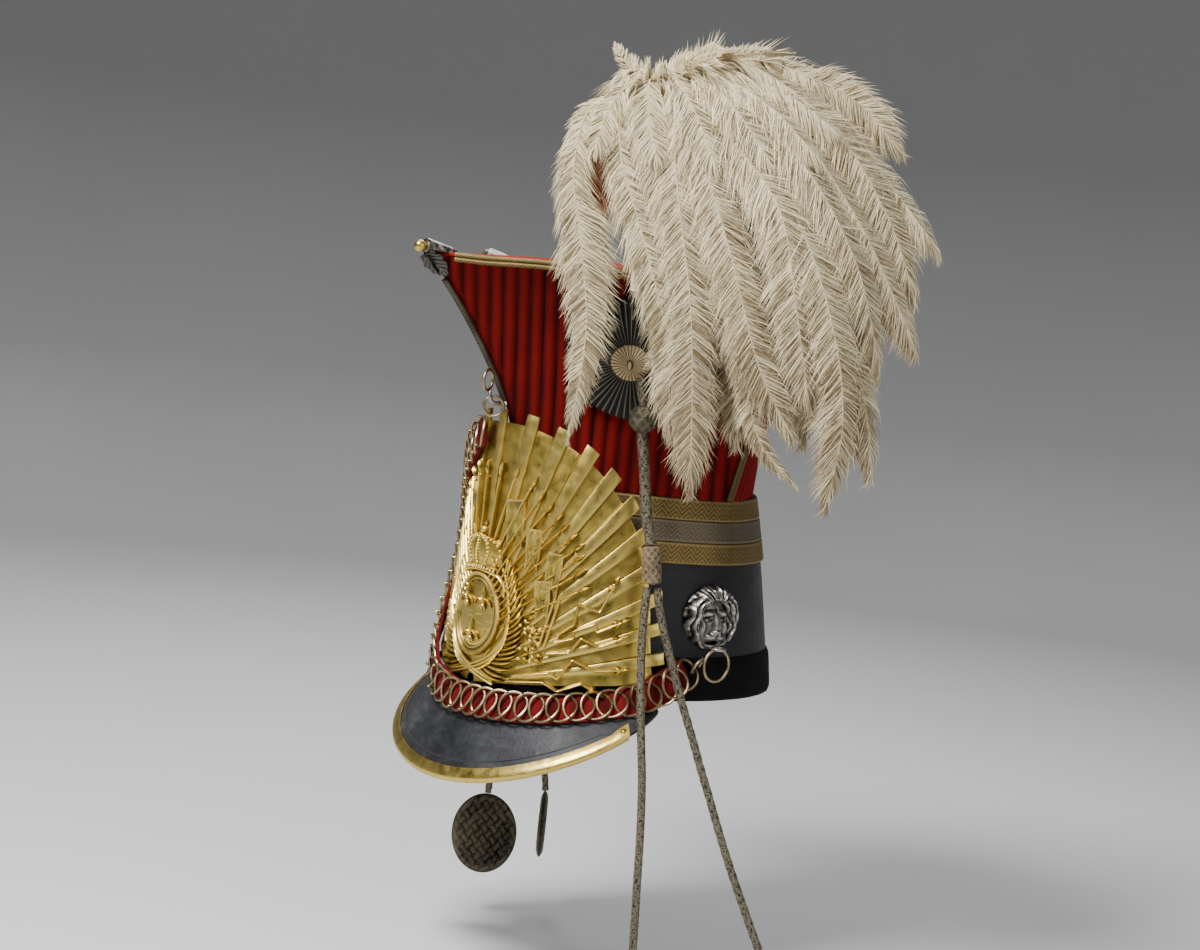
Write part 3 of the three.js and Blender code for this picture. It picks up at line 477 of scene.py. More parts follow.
def metal(name, hollow, middle, crest, roughness):
    paint = Paint(name, Metallic=1.0)
    # The tint brings patina in the hollows and, where a piece sets it low, painted shade
    wear_and_shade = paint.sum(paint.tint(), paint.grain(40, 3), 0.14)
    wear_and_shade = paint.sum(wear_and_shade, paint.grain(700, 2), 0.08)
    paint.set("Base Color", paint.ramp(wear_and_shade, [(0.05, hollow), (0.55, middle), (1.0, crest)]))
    gloss = paint.sum(paint.grain(160, 5), paint.grain(1500, 2), 0.6)
    paint.set("Roughness", paint.ramp(gloss, [(0.25, roughness * 0.75), (0.75, roughness * 1.35)]))
    paint.bumps((paint.grain(420, 4), 0.07), (paint.grain(2600, 2), 0.02))
    return paint.material


def cloth(name, hollow, crest, weave, sheen, roughness=0.9, fleck=0.35, depth=0.15, metallic=0.0, fold=None,
          speckle=None):
    """Cloth or braid, with a painted highlight colour on its sharpest folds where one is given."""
    sheen_tint = (*[min(1, c * 2.5 + 0.05) for c in crest], 1)
    paint = Paint(name, Roughness=roughness, Sheen_Weight=sheen, Sheen_Roughness=0.45, Metallic=metallic,
                  Specular_IOR_Level=0.15, Sheen_Tint=sheen_tint)
    fine = paint.grain(weave, 3)
    shade = paint.sum(paint.tint(), paint.grain(60, 5), fleck)
    shade = paint.sum(shade, fine, speckle or fleck)
    stops = [(0.1, hollow), (0.8, crest), (0.97, fold)] if fold else [(0.1, hollow), (0.95, crest)]
    paint.set("Base Color", paint.ramp(shade, stops))
    paint.bumps((fine, depth), (paint.grain(weave * 2.7, 2), depth / 2))
    return paint.material


def leather(name, dark, worn, roughness, coat):
    paint = Paint(name, Coat_Weight=coat, Coat_Roughness=0.3, Specular_IOR_Level=0.3)
    patches = paint.sum(paint.grain(28, 7), paint.grain(260, 5), 0.5)
    streaks = paint.node("Mapping", {"Scale": (1, 1, 3)}, Vector=paint.place()).outputs[0]
    streaks = paint.node("TexNoise", {"Scale": 75, "Detail": 8}, Vector=streaks).outputs["Fac"]
    scuffs = paint.sum(patches, streaks, 0.7)
    bare = tuple(c * 1.9 for c in worn)
    paint.set("Base Color", paint.ramp(scuffs, [(0.3, dark), (0.62, worn), (0.85, bare)]))
    paint.set("Roughness", paint.ramp(patches, [(0.3, roughness * 0.8), (0.7, roughness * 1.3)]))
    pores = paint.node("TexVoronoi", {"Scale": 900}, Vector=paint.place()).outputs["Distance"]
    paint.bumps((pores, 0.1), (paint.grain(330, 6), 0.22))
    return paint.material


# Metals: colours in hollows, between and on crests, then roughness
BRASS = metal("brass", (0.05, 0.031, 0.004), (0.5, 0.35, 0.066), (0.82, 0.64, 0.2), 0.34)
SILVER = metal("tarnished_silver", (0.016, 0.014, 0.012), (0.2, 0.185, 0.165), (0.52, 0.49, 0.44), 0.38)
WIRE = metal("chain_wire", (0.05, 0.033, 0.013), (0.27, 0.2, 0.1), (0.42, 0.33, 0.19), 0.36)
# Leathers: dark and worn colours, roughness and polish
SKULL_LEATHER = leather("skull_leather", (0.003, 0.0034, 0.0042), (0.0075, 0.008, 0.0095), 0.46, 0.02)
VISOR_LEATHER = leather("visor_leather", (0.011, 0.0115, 0.013), (0.024, 0.0245, 0.027), 0.5, 0.05)
# Cloths: colours in hollows and on crests, weave, sheen, roughness, fleck, bump depth and metal thread
VELVET = cloth("black_velvet", (0.0012, 0.0012, 0.0013), (0.004, 0.004, 0.0044), 1500, 0.08, 1.0)
RED = cloth("red_cloth", (0.012, 0.0002, 0.0002), (0.19, 0.0042, 0.0036), 1300, 0.12, 0.95, 0.3, 0.25)
TOP_RED = cloth("red_top", (0.12, 0.004, 0.003), (0.28, 0.012, 0.006), 1300, 0.04, 0.95, 0.3, 0.25)
GOLD = cloth("gold_lace", (0.02, 0.014, 0.005), (0.27, 0.185, 0.065), 2200, 0.1, 0.5, 0.4, 0.12, 0.55)
GREY_LACE = cloth("silver_lace", (0.02, 0.016, 0.011), (0.19, 0.15, 0.1), 2200, 0.1, 0.5, 0.4, 0.12, 0.5)
# The black ribbon's pale fold colour is a painted highlight on the pleat edges
BLACK_RIBBON = cloth("black_ribbon", (0.004, 0.0042, 0.0038), (0.042, 0.044, 0.039), 2600, 0.1, 0.6, 0.2,
                     0.06, fold=(0.2, 0.17, 0.115))
CREAM_RIBBON = cloth("cream_ribbon", (0.12, 0.08, 0.032), (0.68, 0.53, 0.3), 2600, 0.1, 0.7, 0.25, 0.06)
CORD = cloth("cord_braid", (0.006, 0.005, 0.003), (0.2, 0.172, 0.118), 1000, 0.1, 0.42, 0.4, 0.3, 0.6,
             speckle=4.0)
DARK_CORD = cloth("flounder_braid", (0.006, 0.005, 0.003), (0.13, 0.11, 0.07), 1700, 0.1, 0.45, 1.2, 0.25,
                  0.5)
OLIVE = cloth("olive_braid", (0.012, 0.009, 0.004), (0.16, 0.115, 0.045), 2200, 0.1, 0.5, 0.5, 0.12, 0.5)
SLIDER = cloth("slider_braid", (0.02, 0.015, 0.009), (0.25, 0.185, 0.11), 500, 0.1, 0.55, 1.3, 0.25, 0.25)
FEATHER = cloth("ostrich_feather", (0.24, 0.175, 0.09), (1.0, 0.87, 0.57), 500, 0.15, 0.85, 0.3, 0.02)
THREAD = cloth("thread", (0.012, 0.012, 0.013), (0.05, 0.05, 0.052), 2400, 0.05, 0.7)
STRAP_RED = cloth("strap_red", (0.03, 0.001, 0.001), (0.13, 0.005, 0.005), 1500, 0.12, 0.95, 0.4, 0.2)
PEACH = cloth("stem_wrap", (0.6, 0.42, 0.32), (0.92, 0.74, 0.6), 900, 0.2, 0.8, 0.3, 0.1)

# Places on the cockade's side, as in the part's source
SIDE_TURN = math.radians(50)


def side_point(p):
    """Along to the right, out from the axis and up, as seen from the cockade's side."""
    right, out, up = p
    return Vector((right * math.cos(SIDE_TURN) + out * math.sin(SIDE_TURN),
                   right * math.sin(SIDE_TURN) - out * math.cos(SIDE_TURN), up))


# Cap lines come first
CORD_MAIN = [(-1, 100.8, 186.8), (-0.6, 101.8, 181), (0.5, 102, 176.5), (1.6, 102, 172.8), (1.9, 102, 164),
             (2.2, 102, 155), (4.2, 102.2, 144), (6.4, 102.5, 130), (8.4, 102.9, 116), (11, 103.4, 103),
             (13.8, 104, 92.8)]
CORD_LEFT = [(14.4, 105, 68.2), (14.1, 106, 58), (14.2, 107.4, 46), (14.8, 109, 32), (15.8, 110.8, 18),
             (17.2, 113.6, 4), (18.8, 116, -10), (20.6, 117.4, -24), (22.4, 118, -38), (24, 118, -56),
             (25.2, 118, -76), (26, 118, -96), (26.8, 118, -114), (27.5, 118, -131), (28.1, 118, -147)]
CORD_RIGHT = [(19.8, 105, 68.2), (22.6, 105.3, 57), (26, 105.6, 45), (30, 106, 34), (34.6, 106.3, 21),
              (39.4, 106.6, 8), (44.2, 106.9, -4), (49.6, 107.2, -17), (55.4, 107.4, -32),
              (61.6, 107.6, -47), (68, 107.8, -63), (75, 108, -80), (83, 108, -98), (91.4, 108, -116),
              (101, 108, -136)]
FLOUNDER_NEAR = [(-93, -2.7, 11.4), (-93.6, -3.2, 0), (-94.4, -4.6, -16), (-94.9, -6.8, -34),
                 (-95, -9.4, -52), (-94.7, -12.2, -70), (-94.2, -14.4, -84), (-93.8, -15.3, -94.6)]
FLOUNDER_FAR = [(-93, 2.7, 11.4), (-93.5, 4, 0), (-93.8, 7, -16), (-93.8, 11.6, -34), (-93.4, 17.4, -52),
                (-92.9, 23.6, -70), (-92.4, 28.4, -84), (-92.1, 30.3, -94.6)]
# Name, route, diameter, nodes and far end
LINES = [
    ("line_main", [side_point(p) for p in CORD_MAIN], 6.4, ("cord_top", "cord_main"), "fitting"),
    ("line_left", [side_point(p) for p in CORD_LEFT], 4.8, ("cord_left",), "knot"),
    ("line_right", [side_point(p) for p in CORD_RIGHT], 4.8, ("cord_right",), "knot"),
    ("flounder_line_near", FLOUNDER_NEAR, 4.4, ("flounder_cord_near",), "fitting"),
    ("flounder_line_far", FLOUNDER_FAR, 4.4, ("flounder_cord_far",), "fitting"),
]
# Name, node, lower and upper end, radius, width beside the ends, material and line
KNOTS = [
    ("line_knot", "cord_knot", (1.9, 102, 171.7), (1.9, 102, 155.8), 8, 0.62, DARK_CORD, "line_main"),
    ("line_slider", "cord_slider", (14, 104, 92.3), (17, 105, 69.5), 5.6, 0.9, SLIDER, "line_main"),
    ("line_left_knot", "cord_left_end", (28.2, 118, -147.5), (28.6, 118, -160), 5, 0.55, CORD, "line_left"),
    ("line_right_knot", "cord_right_end", (101.4, 108, -136.5), (107.4, 108, -147.5), 5, 0.55, CORD,
     "line_right"),
]
# Name, node, centre, half width and height, turn and line
FLOUNDERS = [
    ("flounder_weave_near", "flounder_near", (-93.8, -15.3, -121), 21, 26, 50, "flounder_line_near"),
    ("flounder_weave_far", "flounder_far", (-92.1, 30.3, -117), 17, 22, 140, "flounder_line_far"),
]
PLAIT = 6
CORD_STEP = 0.85


def woven(strands, per_mm):
    """Radius of a braid: strands that cross both ways."""
    def lobes(run, angle):
        crossing = [math.cos(strands * angle + way * per_mm * run) for way in (1, -1)]
        return 0.93 + 0.11 * max(0.0, *crossing) ** 2
    return lobes


def cord(name, route, diameter, nodes, far_end):
    path = spline(route, int(length_of(route) / CORD_STEP))
    shape = Shape()
    shape.tube(path, diameter / 2, 20, woven(4, TAU / (diameter * 1.5)))
    made = piece(name, shape, CORD, "cord", nodes)
    metres = [p * MM for p in path]
    return made, dict(exit=metres[0], length=length_of(metres), diameter=diameter * MM, far_end=far_end,
                      stiffness="limp", lay="hanging", path=metres)


def knot(name, node, low, high, radius, shoulder, paint):
    profile = [(0, 0.1), (0.06, shoulder), (0.28, 0.97), (0.5, 1), (0.72, 0.97), (0.94, shoulder), (1, 0.1)]
    low, high = side_point(low), side_point(high)
    shape = Shape()
    path = [low.lerp(high, s) for s in steps(0, 1, 44)]
    weave = woven(7, TAU / (radius * 0.9))
    shape.tube(path, lambda share: radius * table(profile, share), 40, weave)
    return piece(name, shape, paint, "cord", (node,))


def flounder(name, node, centre, half_width, half_height, turn):
    """Flat oval of basket weave with a corded rim."""
    sideways = compass(turn)[1]
    outward = UP.cross(sideways)
    shares = steps(0.04, 1, 32)
    layers = [(1, s) for s in shares] + [(-1, s) for s in reversed(shares[:-1])]

    def at(layer, spoke):
        face, share = layer
        x, z = half_width * share * spoke[0], half_height * share * spoke[1]
        one, two = (x + 0.8 * z) / PLAIT, (x - 0.8 * z) / PLAIT
        over = abs(math.sin(math.pi * (one if (math.floor(one) + math.floor(two)) % 2 else two)))
        rim = bump((share - 0.9) / 0.1)
        lift = (1.4 + 1.1 * over * (1 - rim) + 0.9 * rim) * max(0.0, 1 - share ** 12) * face
        return Vector(centre) + sideways * x + UP * z + outward * lift, 0.6 * over + 0.3 * rim

    shape = Shape()
    shape.surface(layers, circle(80), at, round_columns=True, ends=True)
    return piece(name, shape, DARK_CORD, "cord", (node,))


cords = {row[0]: cord(*row) for row in LINES}
on_cord = {name: [] for name in cords}
for *row, line in KNOTS:
    on_cord[line].append(knot(*row))
for *row, line in FLOUNDERS:
    on_cord[line].append(flounder(*row))
for name, (made, facts) in cords.items():
    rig.cord(made, with_pieces=on_cord[name], **facts)


# Skull, band and lace
WAIST_Z = 118.5
TOP_Z = 244.5
TOP_CORNER = 168
SKULL_WALL = 2.4
SKULL_COLUMNS = 168


def oval(angle, z, front, side, power, grow=0.0):
    x, y = math.sin(angle), math.cos(angle)
    return Vector(((side + grow) * math.copysign(abs(x) ** (2 / power), x),
                   -(front + grow) * math.copysign(abs(y) ** (2 / power), y), z))


def on_skull(angle, z, grow=0.0):
    share = z / WAIST_Z
    front, side = lerp(101.2, 82.5, share), lerp(86.2, 79.5, share)
    return oval(angle, z, front, side, lerp(2, 1.6, share * share), grow)


def even_angles(z, count):
    """Angles that step evenly round the skull at one height, and the way round."""
    fine = steps(0, TAU, 720)
    run = [0.0]
    for a, b in zip(fine, fine[1:]):
        run.append(run[-1] + (on_skull(b, z) - on_skull(a, z)).length)
    return list(np.interp(np.linspace(0, run[-1], count, endpoint=False), run, fine)), run[-1]


def skull():
    """Cup in rows of height, growth from the outer face and share of the way from the axis."""
    inside, outside = WAIST_Z - 2.7, WAIST_Z - 0.3
    rows = [(inside, -SKULL_WALL, share) for share in (0.02, 0.5, 0.93)]
    rows += [(z, -SKULL_WALL, 1) for z in (WAIST_Z - 4.5, 90, 60, 30, 1)]
    rows += [(0, -SKULL_WALL / 2, 1), (1, 0, 1)] + [(z, 0, 1) for z in steps(10, 110, 12)]
    rows += [(outside, 0, share) for share in (1, 0.5, 0.02)]

    def at(row, angle):
        z, grow, scale = row
        p = on_skull(angle, z, grow)
        dent = 0.5 * rough(p, 45, 3.0) if grow == 0 and 2 < z < 112 else 0
        flat = Vector((p.x, p.y, 0))
        return flat * scale + UP * z + flat.normalized() * dent, 0.6

    shape = Shape()
    shape.surface(rows, turns(SKULL_COLUMNS), at, round_columns=True, ends=True)
    piece("skull_leather", shape, SKULL_LEATHER, "leather", ("skull",))


def band_round(name, node, height, material, slot, low, high, near, thick, columns, rows):
    """Band round the skull; height(run, share, girth) gives the lift of its outer face and the tint."""
    angles, girth = even_angles((low + high) / 2, columns)

    def at(row, k):
        share, outer = row
        z = lerp(low, high, share)
        if not outer:
            return on_skull(angles[k], z, near), 0.2
        lift, tint = height(girth * k / columns, share, girth)
        edge = thick * 0.35 * bump(min(share, 1 - share) / 0.06)
        return on_skull(angles[k], z, near + thick - edge + lift), tint

    shape = Shape()
    layers = [(share, True) for share in steps(0, 1, rows)] + [(1, False), (0, False)]
    shape.surface(layers, range(columns), at, round_columns=True, round_rows=True)
    piece(name, shape, material, slot, (node,))


def velvet(run, share, girth):
    lift = 0.25 * noise.noise(Vector((run / 9, share * 3, 0.5)))
    return lift - 0.5 * abs(share * 2 - 1) ** 6, 0.6 + lift


LACE_Z = 80
LACE_WIDTH = 12.8
LACE_GAP = 0.1
LACE_PITCH = 8
LACE_LINES = 3.2
LACE_EDGE = 0.13


def galloon(run, share, girth):
    """Woven zigzag of parallel lines between plain edges with a bright and a dark line."""
    pitch = girth / round(girth / LACE_PITCH)
    fine = 0.06 * math.cos(TAU * run / 1.3)
    margin = min(share, 1 - share) / LACE_EDGE
    if margin < 1:
        ridge = bump((margin - 0.45) / 0.4)
        return 0.22 * ridge + fine, 0.25 + 0.75 * ridge + 2 * fine
    across = (share - LACE_EDGE) / (1 - 2 * LACE_EDGE)
    peak = abs(2 * (run / pitch % 1) - 1)
    wave = math.cos(TAU * LACE_LINES * (across - 0.5 * peak))
    return 0.17 * wave + fine, 0.52 + 0.3 * wave + 2 * fine


def silver_weave(run, share, girth):
    lift, tint = galloon(run, 1 - share, girth)
    return lift * 0.6, 0.2 + 0.65 * tint


skull()
band_round("base_velvet", "base_band", velvet, VELVET, "velvet", low=0, high=25.5, near=0.3, thick=1.8,
           columns=260, rows=10)
LACES = [("lace_gold_lower", galloon, GOLD, "gold_lace"),
         ("lace_silver", silver_weave, GREY_LACE, "silver_lace"),
         ("lace_gold_upper", galloon, GOLD, "gold_lace")]
for i, (name, weave, material, slot) in enumerate(LACES):
    low = LACE_Z + LACE_WIDTH * i
    band_round(name + "_weave", name, weave, material, slot, low=low + LACE_GAP,
               high=low + LACE_WIDTH - LACE_GAP, near=0.6, thick=1.2, columns=960, rows=15)


# Pavilion: ribbed faces that flare to the square top
FLARE = [(0, 88.5), (0.36, 104.32), (0.7, 133.75), (1, 168)]
FLARE_CURVE = [(p.x, p.y) for p in spline([(share * 100, corner, 0) for share, corner in FLARE], 120)]
FLARE_SHARES, FLARE_CORNERS = zip(*FLARE_CURVE)
FACE_BULGE = 11
RIB_PITCH = 8
RIB_DEPTH = 2.0
RIB_MARGIN = 6
RIB_COLUMNS = 200
CLOTH_WALL = 4


def corner_at(z):
    """Distance of the corners from the axis at a height."""
    return float(np.interp((z - WAIST_Z) / (TOP_Z - WAIST_Z) * 100, FLARE_SHARES, FLARE_CORNERS))


def half_face(z):
    return corner_at(z) / math.sqrt(2)


def face_axes(face):
    return compass(45 + 90 * face)


def face_point(face, along, z, grow=0.0):
    """Point on a face, along in millimetres from its middle."""
    half = half_face(z)
    share = (z - WAIST_Z) / (TOP_Z - WAIST_Z)
    bulge = FACE_BULGE * (1 - share) ** 2 * (1 - (along / half) ** 2)
    normal, tangent = face_axes(face)
    return UP * z + normal * (half + bulge + grow) + tangent * along


def rib_column(share, half):
    """Place along a face that keeps to the ribs and closes up only beside the corner."""
    widest = TOP_CORNER / math.sqrt(2)
    along = lerp(-widest, widest, share)
    inner = half - RIB_MARGIN
    if abs(along) <= inner:
        return along
    return math.copysign(inner + RIB_MARGIN * (abs(along) - inner) / (widest - inner), along)


def pavilion():
    """Padded wall in rows of height and inset, ribbed outside and plain inside."""
    levels = steps(WAIST_Z, TOP_Z, 21)
    rows = [(z, 0) for z in levels] + [(z, CLOTH_WALL) for z in reversed(levels[::3])]
    columns = [(face, c / RIB_COLUMNS) for face in range(4) for c in range(RIB_COLUMNS)]

    def at(row, column):
        z, inset = row
        face, share = column
        half = half_face(z) - inset
        along = rib_column(share, half)
        if inset:
            return face_point(face, along, z, -inset), 0.2
        sway = 0.7 * noise.noise(Vector((face * 9.1, z / 60, along / 40)))
        rib = abs(math.cos(math.pi * (along + sway) / RIB_PITCH)) ** 0.9
        soft = 0.35 * noise.noise(Vector((along / 14, z / 22, face * 5.3)))
        edge = bump((half - abs(along)) / 5)
        lift = RIB_DEPTH * (rib - 1) * (1 - edge) - 1.3 * edge + soft
        # Tint: painted shade in the rib grooves, in the soft dents and beside the corners
        return face_point(face, along, z, lift), 0.12 + 0.7 * rib * (1 - 0.6 * edge) + 0.4 * soft

    shape = Shape()
    shape.surface(rows, columns, at, round_columns=True, round_rows=True)
    piece("pavilion_cloth", shape, RED, "red_cloth", ("pavilion",))


def square(corner, rise):
    """Points round a level square above the pavilion's top."""
    half = corner / math.sqrt(2)
    return [UP * (TOP_Z + rise) + normal * half + tangent * along
            for normal, tangent in map(face_axes, range(4)) for along in steps(-half, half, 24)[:-1]]


def top_cloth():
    brim, crown = 2.3, 4
    edge = [(2, 0.3), (TOP_CORNER - 0.6, 0.3), (TOP_CORNER, 1.2), (TOP_CORNER - 1, brim)]
    rows = [square(corner, rise) for corner, rise in edge]
    for share in (0.97, 0.93, 0.88, 0.8, 0.7, 0.6, 0.5, 0.4, 0.3, 0.2, 0.1, 0.02):
        rise = 1 - max(0.0, (share - 0.25) / 0.65) ** 1.5 if share < 0.9 else 0
        rows.append([p + UP * (0.5 * rough(p, 30, 1.0) * (share < 0.85))
                     for p in square(TOP_CORNER * share, brim + crown * rise)])
    shape = Shape()
    shape.grid(rows, 0.7, round_columns=True, ends=True)
    piece("top_red", shape, TOP_RED, "red_cloth", ("top_cloth",))


pavilion()
top_cloth()

# Braids: two twisted cords side by side
CORNERS = ["front", "left", "back", "right"]
BRAID = 1.35
EDGE_BRAID = 1.1
BRAID_STEP = 0.95
TWIST_DEPTH = 0.16
TWIST_PITCH = 4.6


def double_braid(name, points, sideways, node, material, half):
    shape = Shape()
    path = spline(points, int(length_of(points) / BRAID_STEP))
    for side in (-1, 1):
        def lobes(run, angle, pitch=TWIST_PITCH * side):
            return 1 - TWIST_DEPTH + TWIST_DEPTH * abs(math.cos(3 * (angle - TAU * run / pitch) / 2))
        shape.tube([p + sideways * side * half for p in path], half * 1.06, 9, lobes)
    piece(name, shape, material, "gold_lace", (node,))


def braids(index, corner):
    """Braid along the top edge after a corner, and down the corner itself."""
    normal, tangent = face_axes(index)
    half = TOP_CORNER / math.sqrt(2)
    out, reach = half + 1.65, half - 15
    edge = f"{corner}_{CORNERS[(index + 1) % 4]}"
    points = [UP * (TOP_Z + 0.3 + 0.5 * math.sin(9 * s)) + normal * out + tangent * s * reach
              for s in steps(-1, 1, 12)]
    double_braid(f"braid_top_{edge}", points, UP, f"top_braid_{edge}", GOLD, BRAID)
    outward, beside = compass(90 * index)
    foot, material = (164.4, DARK_CORD) if corner == "front" else (119.7, OLIVE)
    points = [outward * (corner_at(z) + 0.45) + UP * z for z in steps(foot, 231, 14)]
    double_braid(f"braid_edge_{corner}", points, beside, f"edge_braid_{corner}", material, EDGE_BRAID)


for i, corner in enumerate(CORNERS):
    braids(i, corner)


# Corner caps and knobs
KNOB_RISE = 4.4
# Radius and height of the collar and of the ball knob on it
COLLAR = [(1, -3), (3.2, -2.6), (3.9, -1), (3.9, 1.2), (3.2, 2), (2.8, 2.3), (3.3, 2.6), (3.4, 3.3),
          (2.8, 3.7), (1, 3.8)]
KNOB = [(1, 0), (1.8, 0.1), (2.2, 0.5), (2.9, 1.2), (3.3, 2.3), (3.4, 3.4), (3.2, 4.5), (2.7, 5.5),
        (1.9, 6.3), (1, 6.7), (0.3, 6.8)]


def embossed_leaf(shape, root, along, across, out, length, width, dome, vein_depth, light_share):
    """Leaf with a midrib and veins, domed most at its root, on a flat back; its tint can be scaled down as painted
    shade.
    """
    def at(u, v):
        half = width / 2 * max(0.02, math.sin(math.pi * min(1.0, 0.2 + 0.8 * u)) ** 0.7)
        half *= 1 + 0.1 * math.cos(TAU * 3 * u)
        rib = bump(v / 0.14)
        vein = 0.5 + 0.5 * math.cos(TAU * (6 * u - 1.6 * abs(v)))
        round_off = (1 - v * v) ** 0.5 * (1 - u ** 6)
        lift = 0.5 + lerp(*dome, u) * round_off + vein_depth * (0.7 * rib + vein * (1 - rib))
        spot = root + along * (u * length) + across * (v * half)
        return spot + out * lift, spot, light_share * min(1, 0.2 + 0.45 * vein + 0.4 * rib)

    shape.relief(steps(0, 1, 30), steps(-1, 1, 18), at)


def corner_pieces(index, corner):
    """Cap of leaves on the top and down both faces, a collar and a knob, made at the front and turned."""
    turn = Matrix.Rotation(math.radians(90 * index), 3, "Z")
    tip = Vector((0, -TOP_CORNER, TOP_Z))
    shape = Shape()
    root, inward, across = tip + Vector((0, -2.5, 2.5)), Vector((0, 1, 0)), Vector((-1, 0, 0))
    embossed_leaf(shape, turn @ root, turn @ inward, turn @ across, UP, length=21.5, width=17,
                  dome=(5.6, 0.8), vein_depth=0.7, light_share=1.0)
    # The side leaves take half the tint: painted shade on the faces under the top edge
    for face, side in ((0, -1), (3, 1)):
        brim_z, low_z = TOP_Z - 1, TOP_Z - 14
        half = half_face(brim_z)
        start = face_point(face, side * half, brim_z)
        along = (face_point(face, side * (half_face(low_z) - 5), low_z) - start).normalized()
        out = along.cross(face_point(face, side * (half - 20), brim_z) - start).normalized()
        if out.dot(face_axes(face)[0]) < 0:
            out = -out
        root, across = start + out * 0.9 - along * 3.5, out.cross(along)
        embossed_leaf(shape, turn @ root, turn @ along, turn @ across, turn @ out, length=18.5, width=12.5,
                      dome=(0.9, 0.2), vein_depth=0.3, light_share=0.5)
    axis = turn @ Vector((0, -1, 0))
    seat = turn @ (tip + Vector((0, 0.5, KNOB_RISE)))
    shape.turned(seat, axis, COLLAR, 0.6)
    piece(f"cap_leaf_{corner}", shape, SILVER, "silver", (f"corner_cap_{corner}",))
    knob = Shape()
    knob.turned(seat + axis * 4.1, axis, KNOB, 0.7)
    piece(f"knob_{corner}", knob, BRASS, "brass", (f"corner_knob_{corner}",))


for i, corner in enumerate(CORNERS):
    corner_pieces(i, corner)


# Plate: sunburst of long raised rays between short sunk ones, placed by arc from the middle and height
PLATE_ARC = 100
PLATE_TOP = 158
FAN_HALF = 84
RAY_STEP = 7.5
RAY_HALF = 1.68
# Angle and length of the rays on one side
RAYS = [(0, 161), (11.2, 163), (19.5, 163.5), (26.7, 162), (33.4, 158.5), (40.3, 153.5), (47, 148),
        (54.4, 141), (61.7, 134.5), (69.1, 128.5), (77, 125)]
# Place across a raised ray, its rise and whether it is short there; then share and rise of a sunk ray
RAISED = [(-RAY_HALF, 0, 1), (-1.6, 1.4, 0), (-1.3, 1.75, 0), (0, 1.85, 0), (1.3, 1.75, 0), (1.6, 1.4, 0),
          (RAY_HALF, 0, 1)]
SUNK = [(0.08, 0.02), (0.3, 0.12), (0.6, 0.3), (0.8, 0.5), (0.93, 0.62)]
STRIP_TINTS = [0.2, 0.6, 0.9, 1.0, 0.9, 0.6, 0.2]


def on_plate(arc, z, lift):
    share = z / PLATE_TOP
    front, side = lerp(107.8, 102.2, share), lerp(94, 78.5, share)
    return oval(arc / PLATE_ARC, z, front, side, lerp(2, 1.8, share), lift)


def ray_columns():
    """Angle, rise and whether it is short, across the raised rays and the sunk ones between them."""
    middles = [-angle for angle, _ in reversed(RAYS[1:])] + [angle for angle, _ in RAYS]
    columns = [(-FAN_HALF, 0.0, 1), (-FAN_HALF + 2, 0.1, 1)]
    for middle, after in zip(middles, middles[1:] + [FAN_HALF + RAY_HALF]):
        lean = draw.uniform(-0.12, 0.12)
        columns += [(middle + place, rise + lean * place, short) for place, rise, short in RAISED]
        low, high = middle + RAY_HALF, after - RAY_HALF
        columns += [(lerp(low, high, share), rise, 1) for share, rise in SUNK]
    return columns + [(FAN_HALF, 0.0, 1)]


def sunburst(shape):
    def at(share, column):
        angle, rise, short = column
        reach = share * (table(RAYS, abs(angle)) - (RAY_STEP if short else 0))
        arc, z = reach * math.sin(math.radians(angle)), reach * math.cos(math.radians(angle)) - 2
        dent = 0.16 * noise.noise(Vector((arc / 14, z / 14, 4.0)))
        lift = 1.2 + rise * min(1.0, share * 1.25) + dent - 0.35 * bump((1 - share) / 0.015)
        # Tint 0.1 on the sunk strips at the foot of each raised ray and at the fan's ends: painted shade beside the
        # raised rays
        tint = (0.1 if short and rise == 0 else 0.6 + 0.1 * rise) + 0.25 * dent
        return on_plate(arc, z, lift), on_plate(arc, z, 0.3), tint

    shape.relief(steps(0.03, 0.97, 34) + [0.985, 1.0], ray_columns(), at)


def leaf_at(shape, arc, z, turn, length, width, lift, bend=0.0, floor=1.2):
    """Pointed leaf with a midrib, rising from its root at (arc, z)."""
    def at(u, v):
        angle = math.radians(turn) + bend * u
        half = width / 2 * math.sin(math.pi * u ** 0.8) + 0.08
        spot = (arc + length * u * math.sin(angle) + v * half * math.cos(angle),
                z + length * u * math.cos(angle) - v * half * math.sin(angle))
        crest = 1 - abs(v)
        rise = (0.4 + 0.6 * crest ** 0.7) * (0.55 + 0.45 * math.sin(math.pi * u))
        return on_plate(*spot, lerp(floor, lift, rise)), on_plate(*spot, floor - 0.4), 0.2 + 0.8 * crest

    shape.relief(steps(0.02, 0.98, 7), steps(-1, 1, 4), at)


def strip(shape, path, half, lift, taper=None):
    """Rounded band along a path of (arc, z)."""
    section = [(1, 0.8), (0.95, lift * 0.6), (0.5, lift * 0.93), (0, lift)]
    section += [(-place, height) for place, height in reversed(section[:-1])]
    rows = []
    for i, (arc, z) in enumerate(path):
        (a0, z0), (a1, z1) = path[max(i - 1, 0)], path[min(i + 1, len(path) - 1)]
        wide = half * (taper(i / (len(path) - 1)) if taper else 1) / math.hypot(a1 - a0, z1 - z0)
        rows.append([on_plate(arc - place * (z1 - z0) * wide, z + place * (a1 - a0) * wide, height)
                     for place, height in section])
    shape.grid(rows, [STRIP_TINTS] * len(rows), ends=True, round_columns=True)


def flat_curve(points, count):
    return [(p.x, p.y) for p in spline([(a, z, 0) for a, z in points], count)]


def pearl(shape, arc, z, lift, size):
    out = (on_plate(arc, z, 1) - on_plate(arc, z, 0)).normalized()
    shape.ball(on_plate(arc, z, lift), (out.cross(UP) * size, UP * size, out * size), 10, 6, 1.0)


# Emblem on the plate
SHIELD_Z = 38.5
SHIELD_HALF = (19.5, 22)
